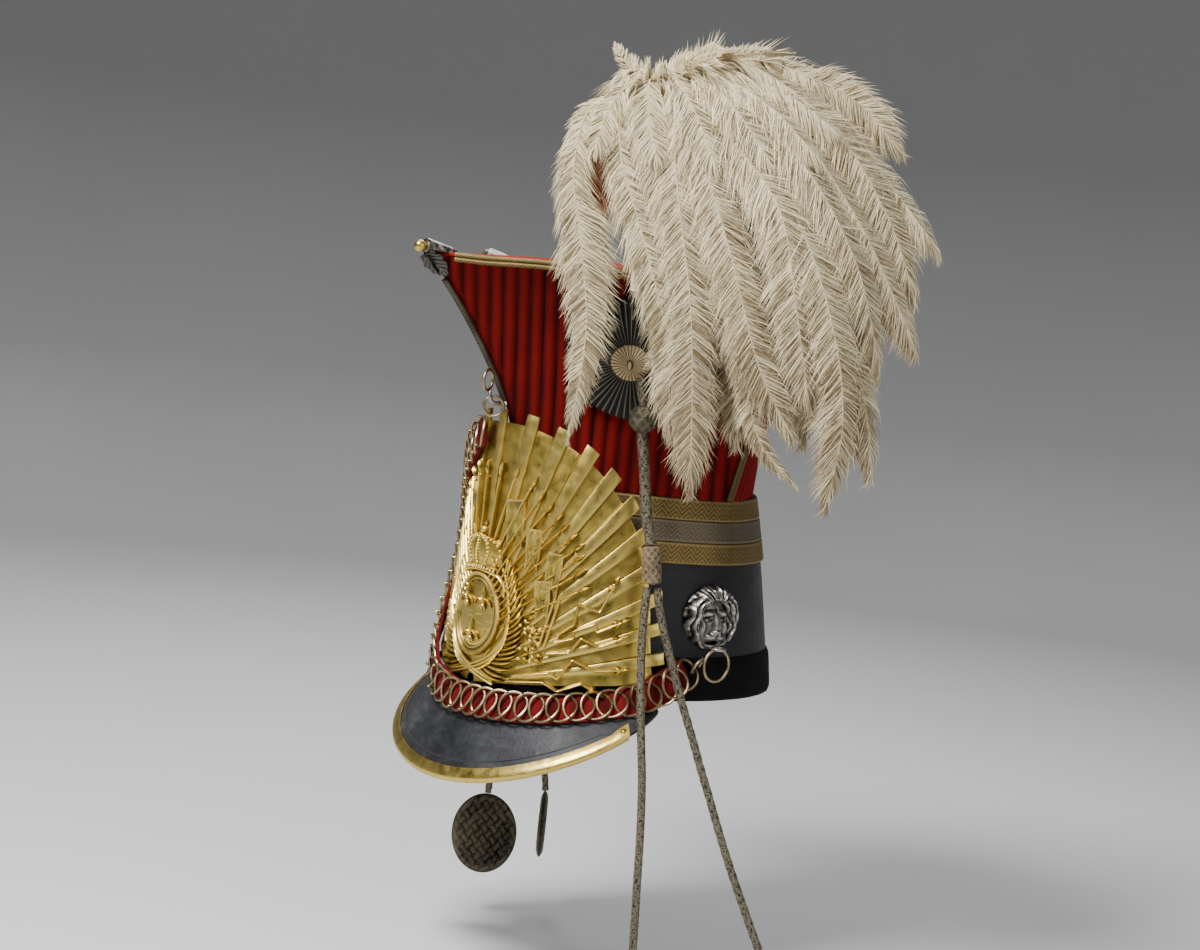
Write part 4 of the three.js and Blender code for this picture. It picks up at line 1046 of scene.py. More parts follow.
# Scale, lift and tint across the shield's double rim
SHIELD_RIM = [(1.15, 1.0, 0.2), (1.145, 4.2, 0.6), (1.1, 5.5, 1.0), (1.03, 5.3, 0.9), (1.0, 4.0, 0.25),
              (0.97, 4.0, 0.3), (0.95, 4.7, 0.9), (0.91, 4.7, 0.8), (0.89, 3.9, 0.3)]
FLEURS = [(-8.6, 47), (8.6, 47), (0, 27)]
FLEUR_SIZE = 8.4
YOKE = [(-24, 51), (-23.5, 57), (-17, 62.5), (0, 65), (17, 62.5), (23.5, 57), (24, 51)]
CROWN_Z = 77
# Right half of the crown, then the palm branch and its ribbon
CROWN_EDGE = [(0, 66), (15.5, 67), (19.5, 72), (19.2, 77), (15.5, 81.8), (9, 84.4), (0, 85.2)]
PALM_STEM = [(3, 5), (15, 10), (25, 22), (29, 38), (26, 56), (23, 64)]
RIBBON = [(-29, 34), (-25, 22), (-13, 12), (7, 4.5), (22, 0.5)]


def fleur(shape, arc, z):
    """Three-petalled flower on a bar."""
    floor, lift, size = 4.4, 7.4, FLEUR_SIZE
    for turn, length, wide, bend in ((0, 1.05, 0.46, 0), (-22, 1.0, 0.34, -1.5), (22, 1.0, 0.34, 1.5)):
        leaf_at(shape, arc, z - size * 0.1, turn, size * length, size * wide, lift, bend, floor)
    for turn in (180, 148, 212):
        leaf_at(shape, arc, z - size * 0.1, turn, size * 0.62, size * 0.26, lift - 0.6, floor=floor)
    strip(shape, [(arc + size * s, z - size * 0.08) for s in (-0.32, -0.1, 0.1, 0.32)], size * 0.08, lift)


def shield(shape):
    def at(row, spoke):
        scale, lift, tint = row
        arc, z = SHIELD_HALF[0] * scale * spoke[1], SHIELD_Z + SHIELD_HALF[1] * scale * spoke[0]
        brushed = noise.noise(Vector((arc / 9, z / 0.9, 2.0))) if scale < 0.88 else 0
        return on_plate(arc, z, lift + 0.12 * brushed), tint + 0.25 * brushed

    field = [(scale, 4.0 + 0.9 * (1 - scale * scale), 0.75) for scale in steps(0.86, 0.02, 24)]
    shape.surface(SHIELD_RIM + field, circle(96), at, round_columns=True, ends=True)
    for arc, z in FLEURS:
        fleur(shape, arc, z)
    strip(shape, flat_curve(YOKE, 30), half=1.5, lift=5.2,
          taper=lambda share: 0.5 + 0.5 * math.sin(math.pi * share))


def crown_lift(arc, z):
    return 2.4 + 5.8 * math.sqrt(max(0.0, 1 - (arc / 21) ** 2 - ((z - CROWN_Z) / 13) ** 2))


def crown(shape):
    """Closed crown: a ringed base, a domed cap, five arches of pearls and an orb with a cross."""
    right = flat_curve(CROWN_EDGE, 24)
    outline = right[:-1] + [(-a, z) for a, z in reversed(right[1:])]
    rows = [[on_plate(a, z, 1.0) for a, z in outline]]
    for scale in (1.0, 0.97, 0.9, 0.75, 0.55, 0.3, 0.05):
        ring = [(a * scale, lerp(CROWN_Z, z, scale)) for a, z in outline]
        rows.append([on_plate(a, z, crown_lift(a, z)) for a, z in ring])
    tints = [[0.3 + 0.07 * i] * len(outline) for i in range(len(rows))]
    shape.grid(rows, tints, round_columns=True, ends=True)
    for z, wide in ((64.6, 1.1), (67.8, 1.0)):
        strip(shape, [(a, z - 0.006 * a * a) for a in steps(-17, 17, 16)], wide, lift=6.6)
    for a in steps(-15.5, 15.5, 11):
        pearl(shape, a, 66.2 - 0.006 * a * a, 6.2, 1.05)
    for lean in (-1, -0.55, 0, 0.55, 1):
        arch = flat_curve([(14.5 * lean, 69), (19 * lean, 75), (15 * lean, 81.4), (1.5 * lean, 85.2)], 9)
        for a, z in arch:
            pearl(shape, a, z, crown_lift(a, z) + 0.4, 1.0)
    for arc in (-13.65, -4.9, 4.9, 13.65):
        leaf_at(shape, arc, 69, 0, length=8.5, width=5, lift=crown_lift(arc, 73) + 1.2, floor=3)
    pearl(shape, 0, 88, 5, 2.2)
    for arm in ([(0, 89.6), (0, 91.3), (0, 93.2)], [(-1.6, 91.6), (0, 91.6), (1.6, 91.6)]):
        strip(shape, arm, half=0.6, lift=4.8)


def wreath(shape, side):
    """Palm branch beside the shield: a stem, long blades outward, short ones inward and a ribbon."""
    stem = flat_curve(PALM_STEM, 22)
    strip(shape, [(a * side, z) for a, z in stem], half=0.9, lift=4.2)
    for i, ((a0, z0), (a, z)) in enumerate(zip(stem[1:], stem[2:])):
        heading = math.degrees(math.atan2(a - a0, z - z0))
        size = lerp(23, 12, i / (len(stem) - 3))
        leaf_at(shape, a * side, z, (heading + 48) * side, size, width=2.7, lift=5.3, bend=-0.34 * side)
        leaf_at(shape, a * side, z, (heading - 16) * side, size * 0.45, width=1.9, lift=4.4, bend=0.25 * side)
    ribbon = flat_curve([(a * side, z) for a, z in RIBBON], 26)
    for shift in (-1.1, 1.1):
        strip(shape, [(a, z + shift) for a, z in ribbon], half=1.1, lift=4.9 - 0.5 * (side > 0))


# Arc and height of the lances' tips, of their first and last root and of the bolts' turns
LANCE_TIPS = [(9, 120), (23, 120), (36, 116), (41, 108), (47, 103), (53, 98), (57, 93), (62, 88), (66, 83),
              (67, 77), (68, 69), (71, 60)]
LANCE_ROOTS = ((4, 70), (24, 34))
BOLTS = [
    [(61, 34), (70, 41), (72, 53), (84, 50), (91, 66)],
    [(60, 30), (70, 33), (70.5, 37.5), (82, 43), (83.5, 38.5), (96, 45)],
    [(56, 23), (69, 25), (75, 34), (85, 30), (97, 36)],
    [(36, 7), (58, 12), (63, 9), (71, 21), (84, 16), (99, 18)],
    [(32, 3), (55, 6), (64, 2), (77, 8), (85, 4)],
]
# Arc, height, heading, length and half width of the flags
PENNONS = [(26, 109, 176, 28, 6.4), (42, 93, 182, 24, 4.6), (56.5, 81, 184, 28, 4.4),
           (50, 64, 178, 22, 4.4)]


def pennon(shape, arc, z, turn, size, half):
    """Swallow-tailed flag with stippled cloth, a plain hem and a wave."""
    heading = math.radians(turn)

    def at(u, v):
        run = u * (1 - 0.3 * (1 - abs(v))) * size
        beside = v * half * (1 + 0.12 * math.sin(5 * u))
        spot = (arc + run * math.sin(heading) + beside * math.cos(heading),
                z + run * math.cos(heading) - beside * math.sin(heading))
        hatch = math.cos(TAU * (run + beside) / 1.5) * math.cos(TAU * (run - beside) / 1.5)
        hem = abs(v) > 0.86 or u < 0.06
        wave = 0.35 * math.sin(7 * u + 0.8 * v)
        lift = 4.1 + wave + (0.35 if hem else 0.13 * hatch)
        tint = 0.6 + 0.25 * wave + (0.3 if hem else 0.25 * hatch)
        return on_plate(*spot, lift), on_plate(*spot, 1.0), tint

    shape.relief(steps(0, 1, 30), steps(-1, 1, 16), at)


def lances(shape, side):
    """Flags, a fan of lances with points, and two thick butts."""
    for arc, z, turn, size, half in PENNONS:
        pennon(shape, arc * side, z, turn * side, size, half)
    for i, (a1, z1) in enumerate(LANCE_TIPS):
        a0, z0 = [lerp(p, q, i / (len(LANCE_TIPS) - 1)) for p, q in zip(*LANCE_ROOTS)]
        shaft = [(lerp(a0, a1, s) * side, lerp(z0, z1, s)) for s in steps(0, 1, 14)]
        strip(shape, shaft, half=0.65, lift=4.9)
        heading = math.degrees(math.atan2((a1 - a0) * side, z1 - z0))
        leaf_at(shape, a1 * side, z1, heading, length=8.5, width=3, lift=5.6)
        leaf_at(shape, a1 * side, z1, heading + 180, length=4, width=2.2, lift=4.6)
    for shift in (-1.5, 1.5):
        butt = [(lerp(59, 52, s) * side + shift, lerp(54, 26, s)) for s in steps(0, 1, 10)]
        strip(shape, butt, half=1.1, lift=4.4)


def bolts(shape, side):
    """Zigzag bolts that end in barbed heads."""
    for row in BOLTS:
        marks = [(a * side, z) for a, z in row]
        path = []
        for (a0, z0), (a1, z1) in zip(marks, marks[1:]):
            path += [(lerp(a0, a1, s), lerp(z0, z1, s)) for s in steps(0, 0.9, 8)]
        strip(shape, path + [marks[-1]], half=1.0, lift=5.0)
        heading = math.degrees(math.atan2(a1 - a0, z1 - z0))
        for turn, length in ((0, 6), (152, 5), (-152, 5)):
            leaf_at(shape, a1, z1, heading + turn, length, width=2.6, lift=5.6)


def oak_spray(shape, side):
    """Scattered leaves with an acorn each."""
    for _ in range(16):
        a, z = draw.uniform(39, 52), draw.uniform(17, 41)
        turn, length = draw.uniform(20, 130) * side, draw.uniform(4.5, 7)
        leaf_at(shape, a * side, z, turn, length, width=3.2, lift=4.6, bend=0.3)
        pearl(shape, (a - 1.5) * side, z - 1, 3.9, 1.1)


def plate():
    shape = Shape()
    sunburst(shape)
    for side in (1, -1):
        for ornament in (lances, bolts, oak_spray, wreath):
            ornament(shape, side)
    shield(shape)
    crown(shape)
    piece("plate_brass", shape, BRASS, "brass", ("plate",))


plate()


# Hook and the chain's end rings
HOOK = [(0, -104.6, 162.4), (0, -112, 162.4), (0, -115.6, 166), (0, -115, 170.4)]
HOOK_SEAT = Vector((0, -105.4, 162))
# Name, centre, radius and turn
END_RINGS = [("lower", (0, -112, 160.6), 5.8, 50), ("upper", (5.4, -121.7, 176), 6, -62)]


def hook_and_rings():
    shape = Shape()
    shape.tube(spline(HOOK, 24), lambda share: 1.5 - 0.8 * share * share, 12, tint=0.8)
    shape.ball(HOOK_SEAT, (Vector((4, 0, 0)), UP * 2.6, Vector((0, -1.1, 0))), 20, 8, 0.7)
    piece("hook_silver", shape, SILVER, "silver", ("plate_hook",))
    for name, centre, radius, turn in END_RINGS:
        ring = Shape()
        ring.ring(Vector(centre), compass(turn)[1], UP, radius, 0.9, 40, 10, 0.8)
        piece(f"end_ring_{name}", ring, WIRE, "wire", (f"chain_end_ring_{name}",))


hook_and_rings()


# Peak with its brass edging
VISOR_HALF = math.radians(71)
VISOR_ROOT = (91.6, 103.9)
VISOR_WIDTH = 64
VISOR_THICK = 2.6
TRIM_WIDTH = 7
STITCHES_BACK = TRIM_WIDTH + 4.4
RIVET_SHARE = 0.8
# Distance back from the free edge and lift, round the section of the edging
TRIM_SECTION = [
    (TRIM_WIDTH, 0.55), (TRIM_WIDTH, 1.15), (TRIM_WIDTH * 0.6, 1.5), (0.8, 1.4), (-0.7, 0.6), (-1.5, -1.3),
    (-0.7, -VISOR_THICK - 0.6), (0.8, -VISOR_THICK - 1.4), (TRIM_WIDTH, -VISOR_THICK - 1.2),
    (TRIM_WIDTH, -VISOR_THICK - 0.55), (0.4, -VISOR_THICK - 0.55), (-0.5, -1.3), (0.4, 0.5),
]


def visor_frame(share):
    """Root, way to the free edge, way up and width, at a share of the way from the middle to an end."""
    angle = VISOR_HALF * share
    half_x, half_y = VISOR_ROOT
    outward = Vector((math.sin(angle) / half_x, -math.cos(angle) / half_y, 0)).normalized()
    slope = math.radians(lerp(64, 22, share * share))
    root = Vector((half_x * math.sin(angle), -half_y * math.cos(angle), 1))
    run = outward * math.cos(slope) - UP * math.sin(slope)
    up = outward * math.sin(slope) + UP * math.cos(slope)
    return root, run, up, VISOR_WIDTH * (1 - share * share) ** 0.69


def visor_point(share, back, lift):
    """Point a distance back from the free edge, and lifted from the upper face."""
    root, run, up, width = visor_frame(share)
    return root + run * (width - back) + up * lift


def visor():
    def at(reach, share):
        root, run, up, width = visor_frame(share)
        place = root + run * (reach * width)
        swell = 0.35 * rough(place, 24, 3.0) + 0.12 * rough(place, 7, 9.0)
        edge = bump((1 - reach) / 0.03)
        lift = swell * (1 - edge) - 1.1 * edge
        return place + up * lift, place - up * (VISOR_THICK - 1.1 * edge), 0.5 + swell

    shape = Shape()
    shares = [0.96 * math.sin(s) / math.sin(1.35) for s in steps(-1.35, 1.35, 120)]
    shape.relief(steps(0, 1, 34), shares, at)
    piece("visor_leather", shape, VISOR_LEATHER, "leather", ("visor",))


def visor_stitches():
    shape = Shape()
    for share in steps(-0.72, 0.72, 249):
        up = visor_frame(share)[2]
        spot = visor_point(share, STITCHES_BACK, 0.1)
        along = (visor_point(share + 0.004, STITCHES_BACK, 0.1) - spot).normalized()
        shape.ball(spot, (along * 0.62, along.cross(up) * 0.3, up * 0.32), 6, 4, 0.8)
    piece("visor_stitches", shape, THREAD, "leather")


def visor_trim():
    """Folded brass edging with a wider, thicker tab and a rivet at each end."""
    def at(share, k):
        back, lift = TRIM_SECTION[k]
        tab = bump(max(0.0, 0.79 - abs(share)) / 0.035)
        dent = 0.12 * noise.noise(Vector((share * 40, k * 0.6, 2.0)))
        back += 1.6 * tab if k < 3 else 0
        lift += 0.45 * tab if 0 < k < 5 else 0
        return visor_point(share, back, lift + dent), 0.75 + 1.2 * dent

    shape = Shape()
    shape.surface(steps(-0.82, 0.82, 150), range(len(TRIM_SECTION)), at, round_columns=True, ends=True)
    for share in (-RIVET_SHARE, RIVET_SHARE):
        _, run, up, _ = visor_frame(share)
        spot = visor_point(share, TRIM_WIDTH * 0.6, 1.5)
        shape.ball(spot, (run * 2, run.cross(up) * 2, up * 1.4), 16, 8, 0.5)
    piece("visor_edging", shape, BRASS, "brass", ("visor_trim",))


visor()
visor_stitches()
visor_trim()


# Chin chain on its red strap
# Angle round the cap, height, distance out and lean, with both angles in degrees, along the route
CHAIN_ROUTE = [
    (81.5, 20, -4.2, 0), (76, 15, 0, 4), (70, 9, 3.2, 12), (63, 2, 4.2, 30), (54, -3, 4.2, 42),
    (43, -7, 4.4, 40), (32, -10, 4.6, 34), (18, -12, 4.2, 28), (5, -12.4, 4.2, 22), (-9, -10, 5.6, 10),
    (-22, -2, 6.6, 0), (-34, 12, 6.2, 0), (-42, 30, 5.8, 0), (-48, 52, 5.4, 0), (-49.5, 75, 5.2, 0),
    (-45, 98, 5, 0), (-34, 120, 5, 0), (-20, 138, 5, 0), (-7, 150, 5, 0),
]
# Place across, height, tint and share of the padding, round the strap's section
STRAP_SECTION = [
    (-8.6, 0, 0.4, 0), (-8.8, 0.8, 0.7, 0), (-8, 1.5, 0.9, 0), (-3, 2.1, 0.6, 1), (0, 2.2, 0.6, 1),
    (4, 2.1, 0.6, 1), (8.6, 1.5, 0.9, 0), (9.5, 0.8, 0.8, 0), (9.3, 0, 0.5, 0), (0, -0.1, 0.3, 0),
]
LINK_PITCH = 9.75
LINK_RADIUS = 8.95
LINK_WIRE = 0.78
LINK_TWIST = 2.6
CHAIN_LIFT = 3.4
CHAIN_STEPS = 400
# Place along and height of the bent wire that holds the links to the strap
STAPLE = [(1.2, 1), (0.9, 4.6), (0, 5.4), (-0.9, 4.6), (-1.2, 1)]


def chain_frames(count):
    """Foot, tangent, side and normal at even places along the chain's route."""
    feet, normals = [], []
    for angle, height, out, lean in CHAIN_ROUTE:
        arc = math.radians(angle) * PLATE_ARC
        feet.append(on_plate(arc, height, out))
        outward = (on_plate(arc, height, out + 1) - feet[-1]).normalized()
        normals.append(outward * math.cos(math.radians(lean)) + UP * math.sin(math.radians(lean)))
    path = spline(feet, count)
    rows = []
    for i, point in enumerate(path):
        near = min(range(len(feet)), key=lambda k: (feet[k] - point).length)
        beside = range(max(0, near - 2), min(near + 3, len(feet)))
        normal = sum((normals[k] / (0.05 + (feet[k] - point).length_squared) for k in beside), Vector())
        tangent = (path[min(i + 1, count)] - path[max(i - 1, 0)]).normalized()
        side = tangent.cross(normal).normalized()
        rows.append((point, tangent, side, side.cross(tangent)))
    return rows


def chin_strap():
    def at(row, corner):
        i, (foot, _, side, up) = row
        across, height, tint, padded = corner
        pad = padded * 0.35 * math.cos(TAU * i / 8.6)
        return foot + side * across + up * (height + pad), tint + pad

    shape = Shape()
    shape.surface(enumerate(chain_frames(220)[4:-4]), STRAP_SECTION, at, round_columns=True, ends=True)
    piece("strap_red", shape, STRAP_RED, "red_cloth", ("chin_strap",))


def link(shape, foot, tangent, side, up):
    """Wire ring that rises and sinks so that it passes through its neighbours."""
    centre = foot + up * CHAIN_LIFT
    path = [centre + (tangent * a + side * b) * LINK_RADIUS + up * (LINK_TWIST * a * b)
            for a, b in circle(36)]
    rows = []
    for before, point, after in zip(path[-1:] + path, path, path[1:] + path[:1]):
        out = (point - centre).normalized()
        lift = (after - before).cross(out).normalized()
        rows.append([point + (out * a + lift * b) * LINK_WIRE for a, b in circle(7)])
    shape.grid(rows, draw.uniform(0.5, 1), round_rows=True, round_columns=True)


def staples(shape, foot, tangent, side, up):
    for edge in (-1, 1):
        spot = foot + side * edge * 7.5
        shape.tube(spline([spot + tangent * a + up * h for a, h in STAPLE], 12), 0.42, 6, tint=0.6)


def chin_chain():
    track = chain_frames(CHAIN_STEPS)
    run = length_of([row[0] for row in track])
    links = int((run - 2 * LINK_RADIUS) / LINK_PITCH)
    shape = Shape()

    def place(number):
        return track[round((LINK_RADIUS + number * LINK_PITCH) / run * CHAIN_STEPS)]

    for k in range(links + 1):
        link(shape, *place(k))
        if k < links:
            staples(shape, *place(k + 0.5))
    foot, tangent, side, up = track[0]
    shape.ring(foot - tangent * 2.8 + up * CHAIN_LIFT, tangent, (side + up).normalized(), 5.4, LINK_WIRE)
    piece("chain_links", shape, WIRE, "wire", ("chin_chain",))


chin_strap()
chin_chain()


# Lion masks, their bails and rings
BOSS_Z = 49.5
BOSS_HALF = (20, 19.5)
BOSS_SEAT = 83.9
RING_OUT = BOSS_SEAT + 9
# Rise, place above the middle, half width and half height: furrow, mouth and chin
FACE_MIDDLE = [(-1.4, 4.8, 1.6, 2.6), (-4.2, -14.6, 6.8, 1.6), (1.8, -17.2, 4.6, 2)]
# The same with the place beside the middle second: eye sockets, eyes, muzzle and cheeks
FACE_SIDES = [(-2.5, 5.9, -0.6, 3.7, 2.3), (1.9, 5.9, -0.8, 2.3, 1.6), (3.4, 3.7, -11.3, 5.2, 3.4),
              (1.6, 8.8, -5.5, 3, 5.5)]
TINT_STEP = 1.2


def lion_face(x, y):
    """Height of the face alone: brows, sunk eyes, a flat nose, a broad muzzle and an open mouth."""
    height = 5.2 - 2.6 * math.hypot(x / 12, (y + 4) / 15) ** 2
    height += 2.8 * min(1.0, 1.4 * bump(x / (3.2 - 0.12 * y))) * bump((y + 4) / 10)
    height += 1.3 * min(1.0, 1.7 * oval_bump(x, y + 8.4, 4.8, 2.2))
    for side in (-1, 1):
        height += 2.6 * oval_bump(x - side * 5.8, y - 3.8 + 0.15 * abs(x), 5.2, 2.6)
        for rise, beside, above, *half in FACE_SIDES:
            height += rise * oval_bump(x - side * beside, y - above, *half)
    for rise, above, *half in FACE_MIDDLE:
        height += rise * oval_bump(x, y - above, *half)
    return height - 0.9 * bump(x / 0.9) * bump((y + 11) / 2)


def lion_mane(x, y, inside):
    """Hair combed up from the forehead and wavy locks that fall down both sides."""
    angle = math.atan2(abs(x), y - 6)
    reach = math.hypot(x, y - 6)
    top = 0.6 * math.cos(13 * angle + 0.5 * math.sin(0.6 * reach)) + 0.6 * math.cos(33 * angle)
    fall = (inside - 1) * TAU
    locks = 1.1 * math.cos(fall / 0.29 + 1.2 * math.sin(0.55 * y + 1))
    locks += 0.4 * math.cos(fall / 0.115 + 1.6 * math.sin(0.55 * y))
    return 5.6 + lerp(top, locks, clamp((angle - 0.75) / 0.5)) + 1.6 * oval_bump(x, y - 11, 15, 9)


def mask_height(x, y):
    inside = math.hypot(x / 11.5, (y + 4.6) / 14.2)
    share = clamp((1.1 - inside) / 0.2)
    share = share * share * (3 - 2 * share)
    return lerp(lion_mane(x, y, inside), lion_face(x, y), share) - 1.4 * bump((inside - 1.04) / 0.13)


def lion_mask(side, name):
    def at(ring, angle):
        edge = 1 + 0.012 * math.cos(13 * angle + 1) + 0.01 * math.cos(29 * angle)
        x, y = BOSS_HALF[0] * ring * edge * math.sin(angle), BOSS_HALF[1] * ring * edge * math.cos(angle)
        rim = min(1.0, (1 - ring) / 0.2)
        height = mask_height(x, y)
        out = BOSS_SEAT - x * x / 210 + height * (1 - (1 - rim) ** 2.6)
        near = sum(mask_height(x + TINT_STEP * a, y + TINT_STEP * b) for a, b in circle(4)) / 4
        return Vector((side * out, -x, BOSS_Z + y)), clamp(0.5 + 0.6 * (height - near))

    shape = Shape()
    # The last ring comes twice, as the end of the front and as the edge of the back
    shape.surface([*steps(0.02, 1, 54), 1.0], turns(200), at, round_columns=True, ends=True)
    x_axis, y_axis = Vector((1, 0, 0)), Vector((0, 1, 0))
    shape.ring(Vector((side * RING_OUT, 0, 32)), x_axis, y_axis, 4, 1, 28, 8, 0.8)
    piece(f"lion_mask_{name}", shape, SILVER, "silver", (f"lion_boss_{name}",))
    ring = Shape()
    ring.ring(Vector((side * RING_OUT, 0, 22.4)), y_axis, UP, 9.6, 0.9, 48, 10, 0.85)
    piece(f"ring_{name}", ring, WIRE, "wire", (f"boss_ring_{name}",))


lion_mask(1, "left")
lion_mask(-1, "right")


# Cockade of black ribbon with a cream middle
PLEAT_STEPS = 6


def pleated_disc(shape, seat, radius, hole, pleats, low, high, fold):
    """Knife-pleated ribbon disc with a zigzag edge, on a seat of centre, way across, way up and way out."""
    centre, across, upward, out = seat

    def at(row, k):
        ring, raised = row
        pleat, part = divmod(k, PLEAT_STEPS)
        place = part / PLEAT_STEPS
        jitter = 0.35 * math.sin(pleat * 2.4) + 0.3 * math.sin(pleat * 5.1)
        angle = TAU * (pleat + place + 0.12 * jitter) / pleats
        tooth = 1 - 0.045 * abs(2 * place - 0.5) - 0.02 * jitter * ring
        slope = place if place < 0.8 else (1 - place) * 4
        lift = lerp(low, high, 1 - ring ** 2) + fold * (slope * (0.3 + 0.7 * ring) + 0.5 * jitter * ring)
        reach = radius * ring * lerp(1, tooth, ring ** 4)
        spot = centre + (across * math.sin(angle) + upward * math.cos(angle)) * reach
        # Tint: painted highlight on each pleat's edge and painted shade down into its hollow
        tint = 1.15 if part == PLEAT_STEPS - 2 else 0.2 + 0.5 * place
        return spot + out * (lift if raised else low - 0.6), tint

    rows = [(ring, True) for ring in steps(hole, 1, 14)] + [(1, False)]
    shape.surface(rows, range(pleats * PLEAT_STEPS), at, round_columns=True, ends=True)


def cockade():
    low, high = face_point(0, 0, 161.4), face_point(0, 0, 232.6)
    upward = (high - low).normalized()
    across = face_axes(0)[1]
    out = across.cross(upward)
    centre = (low + high) / 2 + out * 0.3
    seat = centre, across, upward, out
    shape = Shape()
    pleated_disc(shape, seat, radius=39, hole=0.2, pleats=56, low=0.9, high=4.4, fold=1.5)
    piece("cockade_black", shape, BLACK_RIBBON, "black_ribbon", ("cockade",))
    middle = Shape()
    pleated_disc(middle, seat, radius=11.5, hole=0.1, pleats=30, low=5.4, high=7, fold=0.8)
    middle.ball(centre + out * 8, (across * 1.9, upward * 3.4, out * 1.2), 16, 8, 0.0)
    middle.ball(centre + out * 8.4, (across * 1.3, upward * 2.7, out * 1.2), 16, 8, 0.7)
    piece("cockade_cream", middle, CREAM_RIBBON, "cream_ribbon", ("cockade_centre",))


cockade()


# Plume: stem, woven socket and drooping ostrich feathers
PLUME_ROOT = (-12, 125, 346)
# Route after the root, widths near root, middle and tip, and the way the flat side faces
FRONT_FEATHERS = [
    ([(-44, 130, 336), (-51, 136, 300), (-44, 137, 266), (-35, 133, 210), (-39, 128, 151)],
     (16, 46, 20), 100),
    ([(-28, 129, 357), (-26, 138, 312), (-8, 144, 264), (11, 143, 210), (17, 136, 160)], (26, 38, 36), 95),
    ([(-20, 131, 358), (-9, 142, 316), (16, 149, 262), (34, 148, 226), (50, 140, 200)], (34, 42, 34), 90),
    ([(-5, 134, 350), (10, 150, 282), (21, 154, 232), (27, 148, 186), (32, 138, 132)], (36, 42, 40), 85),
    ([(-3, 132, 360), (14, 147, 322), (39, 156, 264), (61, 154, 204), (82, 146, 168)], (36, 44, 38), 85),
    ([(9, 130, 361), (33, 147, 326), (64, 158, 288), (79, 158, 235), (92, 149, 184)], (38, 46, 40), 78),
    ([(14, 125, 364), (42, 140, 328), (78, 154, 278), (102, 153, 222), (112, 145, 175), (109, 138, 130)],
     (40, 48, 40), 68),
    ([(18, 126, 362), (72, 140, 318), (109, 139, 266), (129, 130, 212)], (42, 52, 46), 50),
]
RIGHT_FEATHERS = [
    ([(24, 112, 370), (62, 111, 359), (101, 107, 329), (131, 101, 287), (148, 96, 250)], (26, 50, 40), 62),
    ([(38, 100, 372), (78, 93, 366), (108, 86, 354), (130, 80, 334)], (14, 40, 38), 75),
    ([(34, 105, 369), (88, 97, 349), (130, 91, 309), (158, 87, 279)], (20, 48, 38), 55),
    ([(22, 118, 364), (70, 124, 334), (110, 121, 288), (136, 115, 246), (150, 110, 222)], (42, 50, 42), 50),
    ([(12, 123, 361), (60, 136, 312), (100, 140, 240), (124, 134, 186), (132, 130, 150)], (40, 48, 38), 55),
    ([(0, 131, 356), (40, 142, 262), (64, 140, 168), (89, 135, 138)], (30, 32, 20), 80),
    ([(50, 72, 354), (118, 60, 266), (138, 52, 202)], (42, 48, 40), 15),
    ([(24, 96, 365), (90, 90, 324), (136, 86, 262), (150, 82, 224)], (42, 50, 40), 35),
]
UNDER_FEATHERS = [
    ([(-14, 118, 354), (4, 122, 292), (14, 121, 215), (22, 117, 160)], (30, 40, 34), 95),
    ([(0, 117, 358), (32, 124, 292), (48, 124, 216), (56, 118, 160)], (40, 46, 40), 85),
    ([(6, 118, 360), (42, 128, 306), (58, 131, 250), (66, 126, 190)], (42, 50, 44), 80),
    ([(10, 112, 360), (58, 118, 304), (85, 118, 232), (94, 112, 165)], (42, 48, 44), 70),
    ([(18, 106, 362), (80, 106, 312), (118, 104, 240), (126, 100, 184)], (42, 48, 44), 45),
    ([(-24, 128, 357), (-31, 130, 364), (-35, 131, 370)], (16, 14, 8), 100),
    ([(-24, 131, 350), (-35, 136, 334), (-40, 139, 312)], (22, 30, 22), 100),
    ([(-14, 133, 353), (-13, 143, 336), (-6, 149, 310)], (24, 36, 26), 92),
    ([(-2, 133, 355), (12, 146, 338), (26, 153, 310)], (24, 38, 28), 85),
    ([(10, 130, 357), (34, 143, 341), (56, 152, 314)], (24, 40, 28), 75),
    ([(18, 124, 360), (52, 132, 346), (82, 139, 320)], (24, 40, 30), 62),
    ([(24, 114, 363), (60, 114, 356), (94, 112, 336)], (22, 38, 30), 60),
    ([(10, 118, 366), (36, 116, 374), (64, 114, 378)], (8, 10, 6), 80),
    ([(-26, 98, 354), (-40, 56, 314), (-46, 24, 266)], (40, 46, 40), 255),
    ([(4, 90, 360), (16, 44, 316), (24, 8, 266)], (42, 48, 42), 275),
    ([(36, 78, 358), (78, 34, 314), (98, 0, 266)], (42, 48, 42), 310),
]
BARBS_PER_MM = 2.7
BARB_CURL = math.radians(42)
# The lower ends are darker with painted shade: it starts at this height and is full after this fall
SHADE_BELOW = 300
SHADE_FALL = 140
LOWER_SHADE = 0.38
# Half widths at a barb's root and bend, and tints of its seven corners, darker at the root with painted shade by the
# shaft
BARB_HALVES = (0.32, 0.25)
BARB_TINTS = (0.65, 0.65, 0.65, 0.85, 0.85, 0.85, 1)
CAP_MIDDLE = (0, 0, 200.0)
chance = np.random.default_rng(5)


def unit(rows):
    return rows / np.linalg.norm(rows, axis=-1, keepdims=True)


def along(rows, u):
    """Rows of a list of places or directions read at shares u of its length."""
    at = u * (len(rows) - 1)
    return np.stack([np.interp(at, range(len(rows)), rows[:, k]) for k in range(3)], 1)


def spread(u, widths):
    """Length of the barbs at shares u of the shaft."""
    full = 0.67 * np.interp(u, (0.1, 0.5, 0.9), widths) * np.clip(u / 0.16, 0.35, 1)
    return full * np.clip((1.09 - u) / 0.22, 0.2, 1) ** 0.6


def lean_at(u):
    """Angle of the barbs to the shaft, closing up at the tip."""
    return np.radians(np.interp(u, (0.8, 0.93, 1.0), (72, 54, 16)))


